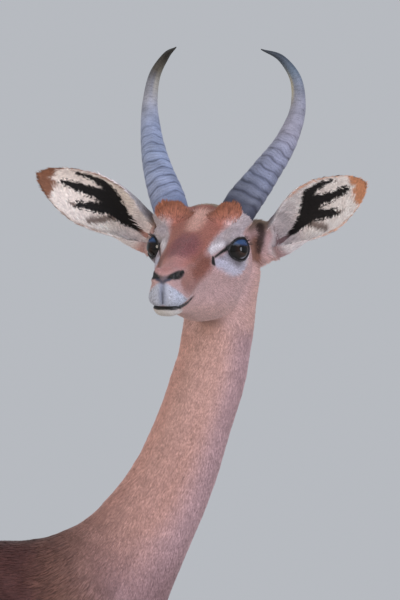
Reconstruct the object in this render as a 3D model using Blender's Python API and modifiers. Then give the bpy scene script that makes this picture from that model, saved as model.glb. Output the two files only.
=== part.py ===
"""A life-size gerenuk buck, standing side-on with its head turned to look over its right shoulder.

The body faces +X, its left side is +Y and the ground is Z = 0. The trunk, neck, upper legs and head are
lofted from named sections, fused into skins and parted with thin cuts, so that each part is one closed solid.
"""

import math
import random
from collections import namedtuple

import bmesh
import bpy
import numpy as np
from mathutils import Matrix, Vector
from mathutils.bvhtree import BVHTree

# Driving sizes of the standing animal, in metres
WITHERS_HEIGHT = 0.950
EYE_HEIGHT = 1.258
CHEST_HALF_WIDTH = 0.108
FORE_FOOT_SPREAD = 0.066
HIND_FOOT_SPREAD = 0.072
CORONET_HEIGHT = 0.040
NODE_GAP = 0.0003

# The head: its place between the eyes, and how far it is turned and rolled
EYE_MIDDLE = Vector((0.395, -0.085, EYE_HEIGHT))
HEAD_TURN = math.radians(14)
HEAD_ROLL = math.radians(-1.8)
EYE_RADIUS = 0.0172
EYE_SPACING = 0.0370
EYE_BEHIND = 0.0080
EYE_LOOK = (0.86, 0.50, 0.06)
LID_THICKNESS = 0.0024
LID_HALF_LENGTH = 0.0156
LID_HALF_HEIGHT = 0.0120
LID_CORNER_DROOP = 0.0020
HORN_BASE_RADIUS = 0.0185
EAR_DEPTH = 0.72
EAR_THICKNESS = 0.0030
FIT_GAP = NODE_GAP * 1.3

# Where the parts are divided
THROAT_CUT = Vector((0.4190, 0.0, 1.1700))
NECK_ROOT_CUT = Vector((0.3080, 0.0, 0.9150))
NECK_ROOT_LEAN = math.radians(40)
KNEE_CUT = 0.374
HOCK_CUT = 0.425
FORE_LEG_REGION = ((0.090, 0.030, 0.100), (0.330, 0.200, 0.670))
HIND_LEG_REGION = ((-0.640, 0.024, 0.100), (-0.200, 0.200, 0.800))
HIND_REGION_LEAN = math.radians(-14)

# How finely the fused skins are made
BODY_VOXEL = 0.0058
HEAD_VOXEL = 0.0022
BODY_TRIANGLES = 3200
HEAD_TRIANGLES = 2600

# The whole animal is moved by this, so that the origin is under the middle of its box
STAND_SHIFT = Vector((-0.022, 0.055, 0.0))

Section = namedtuple("Section", "place upper lower half_width middle_y")

# Back and belly outlines (x, z) of the trunk and neck, matched section by section from tail to head
SPINE_SECTIONS = [
    Section("buttock", (-0.468, 0.875), (-0.472, 0.835), 0.016, 0.0),
    Section("tail root", (-0.455, 0.908), (-0.462, 0.770), 0.050, 0.0),
    Section("pin bones", (-0.425, 0.930), (-0.438, 0.725), 0.070, 0.0),
    Section("croup", (-0.360, 0.953), (-0.375, 0.705), 0.088, 0.0),
    Section("hips", (-0.280, 0.964), (-0.285, 0.706), 0.094, 0.0),
    Section("loin", (-0.190, 0.964), (-0.185, 0.694), 0.098, 0.0),
    Section("last rib", (-0.090, 0.959), (-0.080, 0.668), 0.106, 0.0),
    Section("ribs", (0.020, 0.952), (0.030, 0.642), CHEST_HALF_WIDTH, 0.0),
    Section("girth", (0.105, 0.950), (0.140, 0.626), 0.100, 0.0),
    Section("withers", (0.165, WITHERS_HEIGHT), (0.235, 0.638), 0.090, 0.0),
    Section("brisket", (0.200, 0.9505), (0.300, 0.692), 0.082, 0.0),
    Section("shoulder point", (0.226, 0.9520), (0.334, 0.766), 0.073, 0.0),
    Section("neck root", (0.2520, 0.9600), (0.3520, 0.842), 0.061, 0.0),
    Section("low neck", (0.2775, 0.9735), (0.3725, 0.9010), 0.051, 0.0),
    Section("lower neck", (0.3000, 0.9950), (0.3925, 0.9480), 0.0455, 0.0),
    Section("mid neck", (0.3260, 1.0290), (0.4130, 0.9980), 0.0420, 0.0),
    Section("upper neck", (0.3500, 1.0780), (0.4325, 1.0620), 0.0405, 0.0),
    Section("throat", (0.3705, 1.1380), (0.4520, 1.1300), 0.0415, 0.0),
    Section("under the jaw", (0.3805, 1.1780), (0.4575, 1.1760), 0.0440, 0.0),
    Section("behind the jaw", (0.3830, 1.2080), (0.4605, 1.2080), 0.0450, -0.003),
    Section("nape", (0.3880, 1.2380), (0.4630, 1.2380), 0.0400, -0.014),
    Section("poll", (0.3990, 1.2680), (0.4500, 1.2680), 0.0260, -0.024),
]

Joint = namedtuple("Joint", "place x z y fore_aft across")

# Leg sections from the trunk down: x, z, distance from the middle, and half thickness fore-aft and across
FORE_LEG = [
    Joint("shoulder blade", 0.168, 0.880, 0.052, 0.060, 0.024),
    Joint("shoulder", 0.205, 0.790, 0.064, 0.082, 0.036),
    Joint("upper arm", 0.205, 0.715, 0.070, 0.078, 0.038),
    Joint("elbow", 0.186, 0.645, 0.071, 0.058, 0.033),
    Joint("under the elbow", 0.190, 0.580, 0.069, 0.041, 0.0275),
    Joint("forearm", 0.200, 0.490, 0.068, 0.0285, 0.0215),
    Joint("over the knee", 0.206, 0.400, 0.067, 0.0205, 0.0180),
    Joint("knee", 0.209, 0.350, 0.067, 0.0235, 0.0215),
    Joint("under the knee", 0.206, 0.300, 0.066, 0.0165, 0.0150),
    Joint("cannon", 0.204, 0.210, 0.066, 0.0138, 0.0118),
    Joint("over the fetlock", 0.204, 0.135, 0.066, 0.0150, 0.0128),
    Joint("fetlock", 0.207, 0.106, 0.066, 0.0195, 0.0172),
    Joint("pastern", 0.222, 0.070, 0.066, 0.0150, 0.0150),
    Joint("coronet", 0.236, 0.040, FORE_FOOT_SPREAD, 0.0205, 0.0190),
    Joint("in the hoof", 0.240, 0.030, FORE_FOOT_SPREAD, 0.0190, 0.0180),
]
HIND_LEG = [
    Joint("hip", -0.335, 0.900, 0.040, 0.080, 0.030),
    Joint("thigh", -0.350, 0.820, 0.056, 0.103, 0.044),
    Joint("lower thigh", -0.345, 0.735, 0.064, 0.103, 0.045),
    Joint("stifle", -0.325, 0.660, 0.069, 0.080, 0.040),
    Joint("under the stifle", -0.345, 0.585, 0.069, 0.057, 0.033),
    Joint("gaskin", -0.388, 0.505, 0.068, 0.037, 0.025),
    Joint("over the hock", -0.430, 0.440, 0.068, 0.0255, 0.0175),
    Joint("hock", -0.452, 0.385, 0.068, 0.0300, 0.0200),
    Joint("under the hock", -0.451, 0.330, 0.068, 0.0205, 0.0165),
    Joint("cannon", -0.443, 0.230, 0.069, 0.0150, 0.0125),
    Joint("over the fetlock", -0.437, 0.140, 0.070, 0.0158, 0.0130),
    Joint("fetlock", -0.434, 0.108, 0.071, 0.0203, 0.0178),
    Joint("pastern", -0.418, 0.071, 0.072, 0.0150, 0.0150),
    Joint("coronet", -0.403, 0.040, HIND_FOOT_SPREAD, 0.0208, 0.0190),
    Joint("in the hoof", -0.399, 0.030, HIND_FOOT_SPREAD, 0.0190, 0.0180),
]
# How far each foot stands ahead of its plain place, the upper leg staying under the trunk
FOOT_STEP = {"fore_left": 0.030, "fore_right": -0.022, "hind_left": -0.030, "hind_right": 0.034}
STEP_STARTS_AT = 0.700

Slice = namedtuple("Slice", "place forward top widest bottom half_width")

# The head from nose to nape, in its own frame: forward, and the heights of each slice from the eyes
FACE_SLICES = [
    Slice("nose front", 0.1405, -0.0320, -0.0420, -0.0480, 0.0060),
    Slice("nose pad", 0.1365, -0.0255, -0.0480, -0.0590, 0.0120),
    Slice("nostrils", 0.1290, -0.0210, -0.0520, -0.0630, 0.0168),
    Slice("upper lip", 0.1180, -0.0172, -0.0525, -0.0630, 0.0196),
    Slice("muzzle", 0.1020, -0.0130, -0.0480, -0.0610, 0.0202),
    Slice("nose bridge", 0.0830, -0.0060, -0.0380, -0.0580, 0.0222),
    Slice("face", 0.0630, 0.0015, -0.0300, -0.0565, 0.0258),
    Slice("under the eyes", 0.0430, 0.0105, -0.0240, -0.0560, 0.0318),
    Slice("tear pits", 0.0230, 0.0195, -0.0190, -0.0560, 0.0385),
    Slice("eyes", 0.0030, 0.0295, -0.0150, -0.0565, 0.0440),
    Slice("brow", -0.0170, 0.0390, -0.0130, -0.0580, 0.0480),
    Slice("horn bases", -0.0370, 0.0475, -0.0120, -0.0600, 0.0490),
    Slice("crown", -0.0570, 0.0475, -0.0120, -0.0610, 0.0480),
    Slice("ear bases", -0.0760, 0.0370, -0.0130, -0.0620, 0.0440),
    Slice("nape", -0.0920, 0.0170, -0.0180, -0.0600, 0.0350),
    Slice("nape end", -0.1010, -0.0100, -0.0260, -0.0450, 0.0180),
]
JAW_SLICES = [
    Slice("chin front", 0.1290, -0.0580, -0.0610, -0.0640, 0.0060),
    Slice("chin", 0.1230, -0.0540, -0.0620, -0.0700, 0.0135),
    Slice("lower lip", 0.1080, -0.0500, -0.0600, -0.0715, 0.0155),
    Slice("bars", 0.0820, -0.0450, -0.0560, -0.0695, 0.0165),
    Slice("cheek", 0.0550, -0.0400, -0.0530, -0.0695, 0.0200),
    Slice("jaw", 0.0300, -0.0300, -0.0510, -0.0720, 0.0265),
    Slice("jaw muscle", 0.0050, -0.0200, -0.0480, -0.0758, 0.0350),
    Slice("jaw angle", -0.0200, -0.0100, -0.0460, -0.0778, 0.0395),
    Slice("throat latch", -0.0450, -0.0100, -0.0430, -0.0740, 0.0390),
    Slice("jaw end", -0.0650, -0.0150, -0.0360, -0.0560, 0.0250),
]

# The bulge of bone over each eye, and the root of the bone core under each horn
BROW_MIDDLE = Vector((0.0345, -0.0120, 0.0120))
BROW_RADII = (0.0150, 0.0230, 0.0125)
PEDICLE_ROOT = (0.0260, -0.0230, 0.0160, 0.0170)
PEDICLE_WIDER = 1.12

# The rounded wing round each nostril, and the comma-shaped pit in it: aside, forward, up and radius
NOSTRIL_WING_MIDDLE = Vector((0.0094, 0.1215, -0.0292))
NOSTRIL_WING_RADII = (0.0070, 0.0165, 0.0090)
NOSTRIL_LINE = [
    (0.0065, 0.1390, -0.0350, 0.0020),
    (0.0095, 0.1370, -0.0312, 0.0038),
    (0.0130, 0.1310, -0.0270, 0.0038),
    (0.0152, 0.1215, -0.0242, 0.0018),
]
# The lips' line from the corner to the front (forward, up), its half height, and the flesh left behind it
MOUTH_LINE = [
    (0.0870, -0.0450),
    (0.0940, -0.0510),
    (0.1040, -0.0565),
    (0.1150, -0.0603),
    (0.1270, -0.0620),
    (0.1450, -0.0615),
]
MOUTH_HALF_WIDTH = 0.0400
MOUTH_HALF_HEIGHT = 0.0010
MOUTH_CORE_LINE = [
    (0.0, 0.0780, -0.0440, 0.0190),
    (0.0, 0.0930, -0.0505, 0.0180),
    (0.0, 0.1040, -0.0565, 0.0160),
    (0.0, 0.1180, -0.0608, 0.0150),
    (0.0, 0.1270, -0.0618, 0.0105),
    (0.0, 0.1320, -0.0618, 0.0050),
]
MOUTH_CORE_FLATNESS = 0.35

HornPoint = namedtuple("HornPoint", "aside forward up radius")

# A horn's middle line from the brow to the tip, with its radius
HORN_LINE = [
    HornPoint(0.0310, -0.0240, 0.0280, 0.0175),
    HornPoint(0.0375, -0.0300, 0.0430, HORN_BASE_RADIUS),
    HornPoint(0.0574, -0.0550, 0.0800, 0.0155),
    HornPoint(0.0747, -0.0870, 0.1200, 0.0112),
    HornPoint(0.0811, -0.1020, 0.1550, 0.0080),
    HornPoint(0.0763, -0.1030, 0.1850, 0.0060),
    HornPoint(0.0640, -0.0955, 0.2030, 0.0040),
    HornPoint(0.0465, -0.0710, 0.2125, 0.0006),
]
HORN_RINGS = 7
HORN_RING_HEIGHT = 0.0011
HORN_RINGS_REACH = 0.62

# The ear's middle line, and the rounded root that closes its funnel
EAR_ROOT = Vector((0.0560, -0.0590, 0.0090))
EAR_TIP = Vector((0.1775, -0.0120, 0.0735))
EAR_FACING = (0.10, 1.0, 0.0)
EAR_BASE_SET = Vector((-0.0060, -0.0100, -0.0010))
EAR_BASE_RADII = (0.0205, 0.0170, 0.0258)

EarSpan = namedtuple("EarSpan", "reach above below wrap")

# The ear's half widths above and below its middle line, and how far each side wraps round, in degrees
EAR_SPANS = [
    EarSpan(-0.10, 0.0140, 0.0205, 172),
    EarSpan(0.00, 0.0150, 0.0240, 166),
    EarSpan(0.15, 0.0200, 0.0245, 144),
    EarSpan(0.30, 0.0270, 0.0230, 116),
    EarSpan(0.45, 0.0315, 0.0265, 92),
    EarSpan(0.60, 0.0318, 0.0285, 72),
    EarSpan(0.75, 0.0262, 0.0240, 62),
    EarSpan(0.88, 0.0180, 0.0165, 56),
    EarSpan(0.96, 0.0100, 0.0090, 52),
    EarSpan(1.00, 0.0025, 0.0025, 50),
]

TailPoint = namedtuple("TailPoint", "x z radius")

TAIL_LINE = [
    TailPoint(-0.440, 0.9000, 0.0150),
    TailPoint(-0.486, 0.8860, 0.0140),
    TailPoint(-0.512, 0.8300, 0.0100),
    TailPoint(-0.521, 0.7600, 0.0080),
    TailPoint(-0.524, 0.7000, 0.0050),
]
TAIL_TUFT_LOCKS = 16
TAIL_TUFT_LENGTH = 0.085
TAIL_TUFT_SPREAD = 0.40
TAIL_TUFT_REACH = (0.42, 0.98)
TAIL_LOCK_WIDTH = 0.0140
TAIL_LOCK_THICKNESS = 0.0050
GOLDEN_TURN = 2.4

# The brow tufts in front of the horns, in the head's frame: the pad under the hair, and its rows of locks
# from the lowest up (height, count, share of the width)
BROW_PAD_MIDDLE = Vector((0.0310, -0.0115, 0.0330))
BROW_PAD_RADII = (0.0170, 0.0095, 0.0120)
BROW_TUFT_WIDTH = 0.0340
BROW_LOCK_ROWS = ((0.0225, 4, 0.56), (0.0275, 5, 0.78), (0.0325, 5, 0.94), (0.0375, 6, 1.0))
BROW_LOCK_LENGTH = 0.0155
BROW_LOCK_WIDTH = 0.0105
BROW_LOCK_THICKNESS = 0.0056
BROW_ROOT_SUNK = 0.0016
LOCK_SEED = 7

# Hooves: the sole's length, the width of the pair, the cleft, and heights in front and behind
HOOF_LENGTH = 0.054
HOOF_PAIR_WIDTH = 0.041
HOOF_CLEFT = 0.0024
HOOF_FRONT_HEIGHT = 0.0400
HOOF_BACK_HEIGHT = 0.0235
# Its sole's half length and toe point, and its rim's half length, as shares of the length
HOOF_SOLE_REACH = 0.47
HOOF_TOE_REACH = 0.09
HOOF_RIM_REACH = 0.31
HOOF_RIM_WIDTH = 0.95
HOOF_TOE_TAPER = 0.55
HOOF_TOE_INWARD = 0.30
HOOF_RIM_SETBACK = 0.0060

MATERIAL_COLOURS = {
    "fawn_coat": ((0.48, 0.26, 0.16, 1.0), 0.85),
    "saddle_coat": ((0.30, 0.12, 0.07, 1.0), 0.85),
    "tail_hair": ((0.03, 0.02, 0.02, 1.0), 0.70),
    "horn": ((0.20, 0.19, 0.22, 1.0), 0.45),
    "hoof": ((0.05, 0.04, 0.04, 1.0), 0.35),
    "eye": ((0.01, 0.01, 0.02, 1.0), 0.05),
}


def clear_scene():
    for item in list(bpy.data.objects):
        bpy.data.objects.remove(item)


def new_collection(name):
    made = bpy.data.collections.new(name)
    bpy.context.scene.collection.children.link(made)
    return made


def material(name):
    found = bpy.data.materials.get(name)
    if found is None:
        colour, roughness = MATERIAL_COLOURS[name]
        found = bpy.data.materials.new(name)
        found.use_nodes = True
        shader = found.node_tree.nodes["Principled BSDF"]
        shader.inputs["Base Color"].default_value = colour
        shader.inputs["Roughness"].default_value = roughness
        found.diffuse_color = colour
    return found


def curve_through(rows, count):
    """Evenly spaced rows along a smooth curve, by distance along the given rows' first three values."""
    rows = np.array(rows, float)
    knots = np.concatenate([[0.0], np.cumsum(np.linalg.norm(np.diff(rows[:, :3], axis=0), axis=1))])
    spans = np.diff(knots)
    slopes = np.diff(rows, axis=0) / spans[:, None]
    tangents = np.empty_like(rows)
    tangents[0], tangents[-1] = slopes[0], slopes[-1]
    before, after = spans[:-1, None], spans[1:, None]
    tangents[1:-1] = (slopes[:-1] * after + slopes[1:] * before) / (before + after)
    at = np.linspace(0.0, knots[-1], count)
    i = np.clip(np.searchsorted(knots, at, side="right") - 1, 0, len(spans) - 1)
    t = ((at - knots[i]) / spans[i])[:, None]
    step = spans[i][:, None]
    return (
        (2 * t**3 - 3 * t**2 + 1) * rows[i]
        + (t**3 - 2 * t**2 + t) * step * tangents[i]
        + (3 * t**2 - 2 * t**3) * rows[i + 1]
        + (t**3 - t**2) * step * tangents[i + 1]
    )


def mesh_object(name, points, faces):
    mesh = bpy.data.meshes.new(name)
    mesh.from_pydata([tuple(p) for p in points], [], faces)
    made = bpy.data.objects.new(name, mesh)
    bpy.context.scene.collection.objects.link(made)
    face_outwards(made)
    return made


def face_outwards(item):
    edit = bmesh.new()
    edit.from_mesh(item.data)
    bmesh.ops.recalc_face_normals(edit, faces=edit.faces)
    if edit.calc_volume(signed=True) < 0:
        bmesh.ops.reverse_faces(edit, faces=edit.faces)
    edit.to_mesh(item.data)
    edit.free()


def ring_faces(rings, around):
    """Quads between neighbouring rings, with a flat cap on the first and the last."""
    faces = []
    for i in range(rings - 1):
        for j in range(around):
            k = (j + 1) % around
            faces.append((i * around + j, i * around + k, (i + 1) * around + k, (i + 1) * around + j))
    faces.append(tuple(range(around)))
    faces.append(tuple((rings - 1) * around + j for j in range(around)))
    return faces


def loft(name, centres, ups, sides, around, downs=None, egg=0.0):
    """A closed tube over rings: centre, upward, sideways and downward reach. An egg is wider low down."""
    downs = ups if downs is None else downs
    turns = np.linspace(0, 2 * math.pi, around, endpoint=False)
    height, width = np.cos(turns), np.sin(turns) * (1 - egg * np.cos(turns))
    rise = np.where(height[None, :, None] > 0, ups[:, None, :], downs[:, None, :])
    points = centres[:, None, :] + rise * height[None, :, None] + sides[:, None, :] * width[None, :, None]
    return mesh_object(name, points.reshape(-1, 3), ring_faces(len(centres), around))


def spine_tube(from_height=None):
    """The trunk and neck in one, from the buttocks to inside the head, or only its end above a height."""
    rows = []
    for s in SPINE_SECTIONS:
        upper, lower = np.array(s.upper), np.array(s.lower)
        middle, half = (upper + lower) / 2, (upper - lower) / 2
        rows.append([middle[0], s.middle_y, middle[1], half[0], 0.0, half[1], 0.0, s.half_width, 0.0])
    rings = curve_through(rows, 90)
    if from_height is not None:
        rings = rings[rings[:, 2] > from_height]
    return loft("spine_tube", rings[:, 0:3], rings[:, 3:6], rings[:, 6:9], 40, egg=0.10)


def leg_rows(joints, corner):
    side = 1 if corner.endswith("left") else -1
    rows = []
    for j in joints:
        down = min(1.0, max(0.0, (STEP_STARTS_AT - j.z) / (STEP_STARTS_AT - CORONET_HEIGHT)))
        x = j.x + FOOT_STEP[corner] * down
        rows.append([x, side * j.y, j.z, j.fore_aft, j.across])
    return rows


def leg_tube(name, joints, corner, count=64, around=20):
    """A leg's limb along its joints, each ring square to the line that it follows."""
    rings = curve_through(leg_rows(joints, corner), count)
    centres = rings[:, 0:3]
    along = np.gradient(centres, axis=0)
    along /= np.linalg.norm(along, axis=1)[:, None]
    across = np.array([0.0, 1.0, 0.0]) - along * along[:, 1:2]
    across /= np.linalg.norm(across, axis=1)[:, None]
    fore = np.cross(along, across)
    return loft(name, centres, fore * rings[:, 3:4], across * rings[:, 4:5], around)


def head_matrix():
    """From the head's own frame (aside to its left, forward, up) to the world."""
    forward = Vector((-math.sin(HEAD_TURN), -math.cos(HEAD_TURN), 0.0))
    left = Vector((math.cos(HEAD_TURN), -math.sin(HEAD_TURN), 0.0))
    up = Vector((0.0, 0.0, 1.0))
    frame = Matrix((left, forward, up)).transposed().to_4x4()
    roll = Matrix.Rotation(HEAD_ROLL, 4, forward)
    return Matrix.Translation(EYE_MIDDLE) @ roll @ frame


def head_tube(name, slices, around=44, count=70):
    rows = [[0.0, s.forward, s.widest, s.top - s.widest, s.widest - s.bottom, s.half_width] for s in slices]
    rings = curve_through(rows, count)
    upright, sideways = np.array([[0.0, 0.0, 1.0]]), np.array([[1.0, 0.0, 0.0]])
    rise, fall = rings[:, 3:4] * upright, rings[:, 4:5] * upright
    return loft(name, rings[:, 0:3], rise, rings[:, 5:6] * sideways, around, fall)


def ellipsoid(name, centre, radii, turn=None, segments=24):
    edit = bmesh.new()
    bmesh.ops.create_uvsphere(edit, u_segments=segments, v_segments=segments // 2, radius=1.0)
    mesh = bpy.data.meshes.new(name)
    scale = Matrix.Diagonal((*radii, 1.0))
    edit.transform(Matrix.Translation(centre) @ (turn or Matrix.Identity(4)) @ scale)
    edit.to_mesh(mesh)
    edit.free()
    made = bpy.data.objects.new(name, mesh)
    bpy.context.scene.collection.objects.link(made)
    return made


def box(name, low, high, turn=None):
    """A box between two corners, turned about its middle where a matrix is given."""
    low, high = Vector(low), Vector(high)
    edit = bmesh.new()
    bmesh.ops.create_cube(edit, size=1.0)
    size = high - low
    edit.transform(
        Matrix.Translation((low + high) / 2) @ (turn or Matrix.Identity(4)) @ Matrix.Diagonal((*size, 1.0))
    )
    mesh = bpy.data.meshes.new(name)
    edit.to_mesh(mesh)
    edit.free()
    made = bpy.data.objects.new(name, mesh)
    bpy.context.scene.collection.objects.link(made)
    return made


def half_space(name, point, normal, reach=3.0):
    """A large box that fills the side of a plane that its normal points away from."""
    normal = Vector(normal).normalized()
    turn = normal.to_track_quat("Z", "Y").to_matrix().to_4x4()
    made = box(name, (-reach / 2, -reach / 2, -reach), (reach / 2, reach / 2, 0.0))
    made.data.transform(Matrix.Translation(point) @ turn)
    return made


def settle(item):
    """Puts the object's evaluated shape into its own mesh, with its modifiers used up."""
    bpy.context.view_layer.update()
    graph = bpy.context.evaluated_depsgraph_get()
    mesh = bpy.data.meshes.new_from_object(item.evaluated_get(graph))
    item.modifiers.clear()
    item.data = mesh
    return item


def boolean(item, other, operation, keep_other=False):
    modifier = item.modifiers.new("cut", "BOOLEAN")
    modifier.operation = operation
    modifier.solver = "EXACT"
    modifier.object = other
    settle(item)
    if not keep_other:
        bpy.data.objects.remove(other)
    return item


def joined(item, pieces):
    """One Boolean union of the object with every piece."""
    group = new_collection(item.name + "_pieces")
    for piece in pieces:
        bpy.context.scene.collection.objects.unlink(piece)
        group.objects.link(piece)
    modifier = item.modifiers.new("join", "BOOLEAN")
    modifier.operation = "UNION"
    modifier.operand_type = "COLLECTION"
    modifier.collection = group
    modifier.solver = "EXACT"
    settle(item)
    for piece in list(group.objects):
        bpy.data.objects.remove(piece)
    bpy.data.collections.remove(group)
    return largest_body(item)


def largest_body(item):
    """Keeps the closed surface that holds the most, and drops the scraps that a cut leaves."""
    edit = bmesh.new()
    edit.from_mesh(item.data)
    bmesh.ops.triangulate(edit, faces=edit.faces)
    unseen = set(edit.verts)
    bodies = []
    while unseen:
        stack = [unseen.pop()]
        body = set(stack)
        while stack:
            for edge in stack.pop().link_edges:
                for vert in edge.verts:
                    if vert in unseen:
                        unseen.remove(vert)
                        body.add(vert)
                        stack.append(vert)
        faces = {face for vert in body for face in vert.link_faces}
        volume = sum(f.verts[0].co.dot(f.verts[1].co.cross(f.verts[2].co)) for f in faces) / 6
        bodies.append((volume, body))
    bodies.sort(key=lambda pair: pair[0])
    for _, body in bodies[:-1]:
        bmesh.ops.delete(edit, geom=list(body), context="VERTS")
    edit.to_mesh(item.data)
    edit.free()
    return item


def fused(name, pieces, voxel, smoothing, triangles):
    """One closed skin over overlapping pieces, smoothed where they meet, with about that many triangles."""
    edit = bmesh.new()
    for piece in pieces:
        piece.data.transform(piece.matrix_world)
        edit.from_mesh(piece.data)
        bpy.data.objects.remove(piece)
    mesh = bpy.data.meshes.new(name)
    edit.to_mesh(mesh)
    edit.free()
    made = bpy.data.objects.new(name, mesh)
    bpy.context.scene.collection.objects.link(made)
    remesh = made.modifiers.new("fuse", "REMESH")
    remesh.mode = "VOXEL"
    remesh.voxel_size = voxel
    smooth = made.modifiers.new("smooth", "SMOOTH")
    smooth.factor = 0.5
    smooth.iterations = smoothing
    settle(made)
    largest_body(made)
    thin = made.modifiers.new("thin", "DECIMATE")
    thin.ratio = min(1.0, triangles / len(made.data.polygons))
    settle(made)
    return largest_body(made)


def moved(item, matrix):
    """Moves a solid by a matrix, and turns its faces over again where the matrix mirrors them."""
    item.data.transform(matrix)
    if matrix.determinant() < 0:
        item.data.flip_normals()
    return item


def copy_of(item, name):
    made = bpy.data.objects.new(name, item.data.copy())
    bpy.context.scene.collection.objects.link(made)
    return made


def finished(item, name, look, collection):
    """Names a solid, gives it its material and edges, and puts it among the parts."""
    item.name = name
    item.data.name = name
    item.data.materials.clear()
    item.data.materials.append(material(look))
    item.data.shade_smooth()
    item.data.set_sharp_from_angle(angle=math.radians(40))
    for holder in list(item.users_collection):
        holder.objects.unlink(item)
    collection.objects.link(item)
    return item


def on_side(place, side):
    """A place given for the head's left, or its mirror image on the right."""
    return Vector((side * place.x, place.y, place.z))


def eye_centre(side):
    return Vector((side * EYE_SPACING, -EYE_BEHIND, 0.0))


def eye_direction(side):
    """The way that an eye looks, in the head's frame: outward, somewhat forward and a little up."""
    return Vector((side * EYE_LOOK[0], EYE_LOOK[1], EYE_LOOK[2])).normalized()


def lid_opening(side):
    """An almond wedge that leaves the eyeball bare between its lids."""
    look = eye_direction(side)
    up = Vector((0.0, -0.10, 1.0))
    up = (up - look * up.dot(look)).normalized()
    along = up.cross(look) * side
    points = []
    around = 20
    for depth, spread in ((0.0100, 0.86), (0.0300, 1.18)):
        for i in range(around):
            turn = 2 * math.pi * i / around
            corner = math.cos(turn)
            reach = LID_HALF_LENGTH * corner * (1.10 if corner > 0 else 0.95)
            rise = LID_HALF_HEIGHT * math.sin(turn) * (1 - 0.25 * corner * corner)
            height = rise * spread - LID_CORNER_DROOP * corner
            points.append(eye_centre(side) + look * depth + along * reach * spread + up * height)
    return mesh_object("lid_opening", points, ring_faces(2, around))


def nostril_cutter(side):
    """A comma-shaped pit, opening forward and outward beside the nose pad."""
    rows = [[side * aside, forward, up, radius] for aside, forward, up, radius in NOSTRIL_LINE]
    return tube_along("nostril", curve_through(rows, 7), 8)


def tube_along(name, rings, around, flatten=1.0, up=(0.0, 0.0, 1.0)):
    """A round tube through rows of x, y, z and radius."""
    centres, radii = rings[:, 0:3], rings[:, 3:4]
    along = np.gradient(centres, axis=0)
    along /= np.linalg.norm(along, axis=1)[:, None]
    side = np.cross(along, np.array([up], float))
    side /= np.linalg.norm(side, axis=1)[:, None]
    rise = np.cross(side, along)
    return loft(name, centres, rise * radii * flatten, side * radii, around)


def mouth_cutter():
    """A thin curved wedge that draws the line between the lips, from corner to corner round the front."""
    points = []
    for side in (1, -1):
        for forward, up in MOUTH_LINE:
            for rise in (MOUTH_HALF_HEIGHT, -MOUTH_HALF_HEIGHT):
                points.append(Vector((side * MOUTH_HALF_WIDTH, forward, up + rise)))
    faces = []
    n = len(MOUTH_LINE)
    for i in range(n - 1):
        a, b = 2 * i, 2 * (i + 1)
        c, d = a + 2 * n, b + 2 * n
        faces += [(a, b, d, c), (a + 1, c + 1, d + 1, b + 1), (a, a + 1, b + 1, b), (c, d, d + 1, c + 1)]
    faces.append((0, 2 * n, 2 * n + 1, 1))
    faces.append((2 * n - 2, 2 * n - 1, 4 * n - 1, 4 * n - 2))
    return mesh_object("mouth", points, faces)


def mouth_core():
    """The flesh that stays behind the lip line, so that the cut is a shallow groove."""
    return tube_along("mouth_core", curve_through(MOUTH_CORE_LINE, 14), 16, flatten=MOUTH_CORE_FLATNESS)


def head_skin():
    """The head's outer form with its neck stub, still in the head's frame."""
    pieces = [
        head_tube("face", FACE_SLICES),
        head_tube("jaw", JAW_SLICES),
    ]
    for side in (1, -1):
        centre = eye_centre(side)
        pieces.append(ellipsoid("orbit", centre, (EYE_RADIUS + LID_THICKNESS,) * 3))
        pieces.append(ellipsoid("brow", on_side(BROW_MIDDLE, side), BROW_RADII))
        pieces.append(ellipsoid("brow_pad", on_side(BROW_PAD_MIDDLE, side), BROW_PAD_RADII))
        pieces.append(ellipsoid("nostril_wing", on_side(NOSTRIL_WING_MIDDLE, side), NOSTRIL_WING_RADII))
        pedicle = [[side * PEDICLE_ROOT[0], *PEDICLE_ROOT[1:]]]
        pedicle += [[side * p.aside, p.forward, p.up, p.radius * PEDICLE_WIDER] for p in HORN_LINE[:2]]
        pieces.append(tube_along("pedicle", np.array(pedicle), 20, up=(0.0, 1.0, 0.0)))
        pieces.append(ellipsoid("ear_base", on_side(EAR_ROOT + EAR_BASE_SET, side), EAR_BASE_RADII))
    stub = spine_tube(from_height=THROAT_CUT.z - 0.030)
    moved(stub, head_matrix().inverted())
    pieces.append(stub)
    return fused("head", pieces, HEAD_VOXEL, 6, HEAD_TRIANGLES)


def horn(side):
    """A ringed horn that sweeps back and out, then hooks forward and in to a sharp tip."""
    rows = [[side * p.aside, p.forward, p.up, p.radius] for p in HORN_LINE]
    count = 34
    rings = curve_through(rows, count)
    reach = np.linspace(0, 1, count)
    ridge = np.sin(reach * HORN_RINGS * 2 * math.pi / HORN_RINGS_REACH - 0.6)
    fade = np.clip(1.25 - reach / 0.50, 0, 1) * np.clip((reach - 0.05) / 0.06, 0, 1)
    rings[:, 3] = np.maximum(rings[:, 3] + HORN_RING_HEIGHT * ridge * fade, 0.0005)
    return tube_along("horn", rings, 10, up=(0.0, 1.0, 0.0))


def ear_frame(side):
    """Root, directions of the length, width and opening, and the length, in the head's frame."""
    root, tip = on_side(EAR_ROOT, side), on_side(EAR_TIP, side)
    along = (tip - root).normalized()
    facing = on_side(Vector(EAR_FACING), side)
    facing = (facing - along * facing.dot(along)).normalized()
    across = facing.cross(along) * -side
    return root, along, across, facing, (tip - root).length


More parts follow.
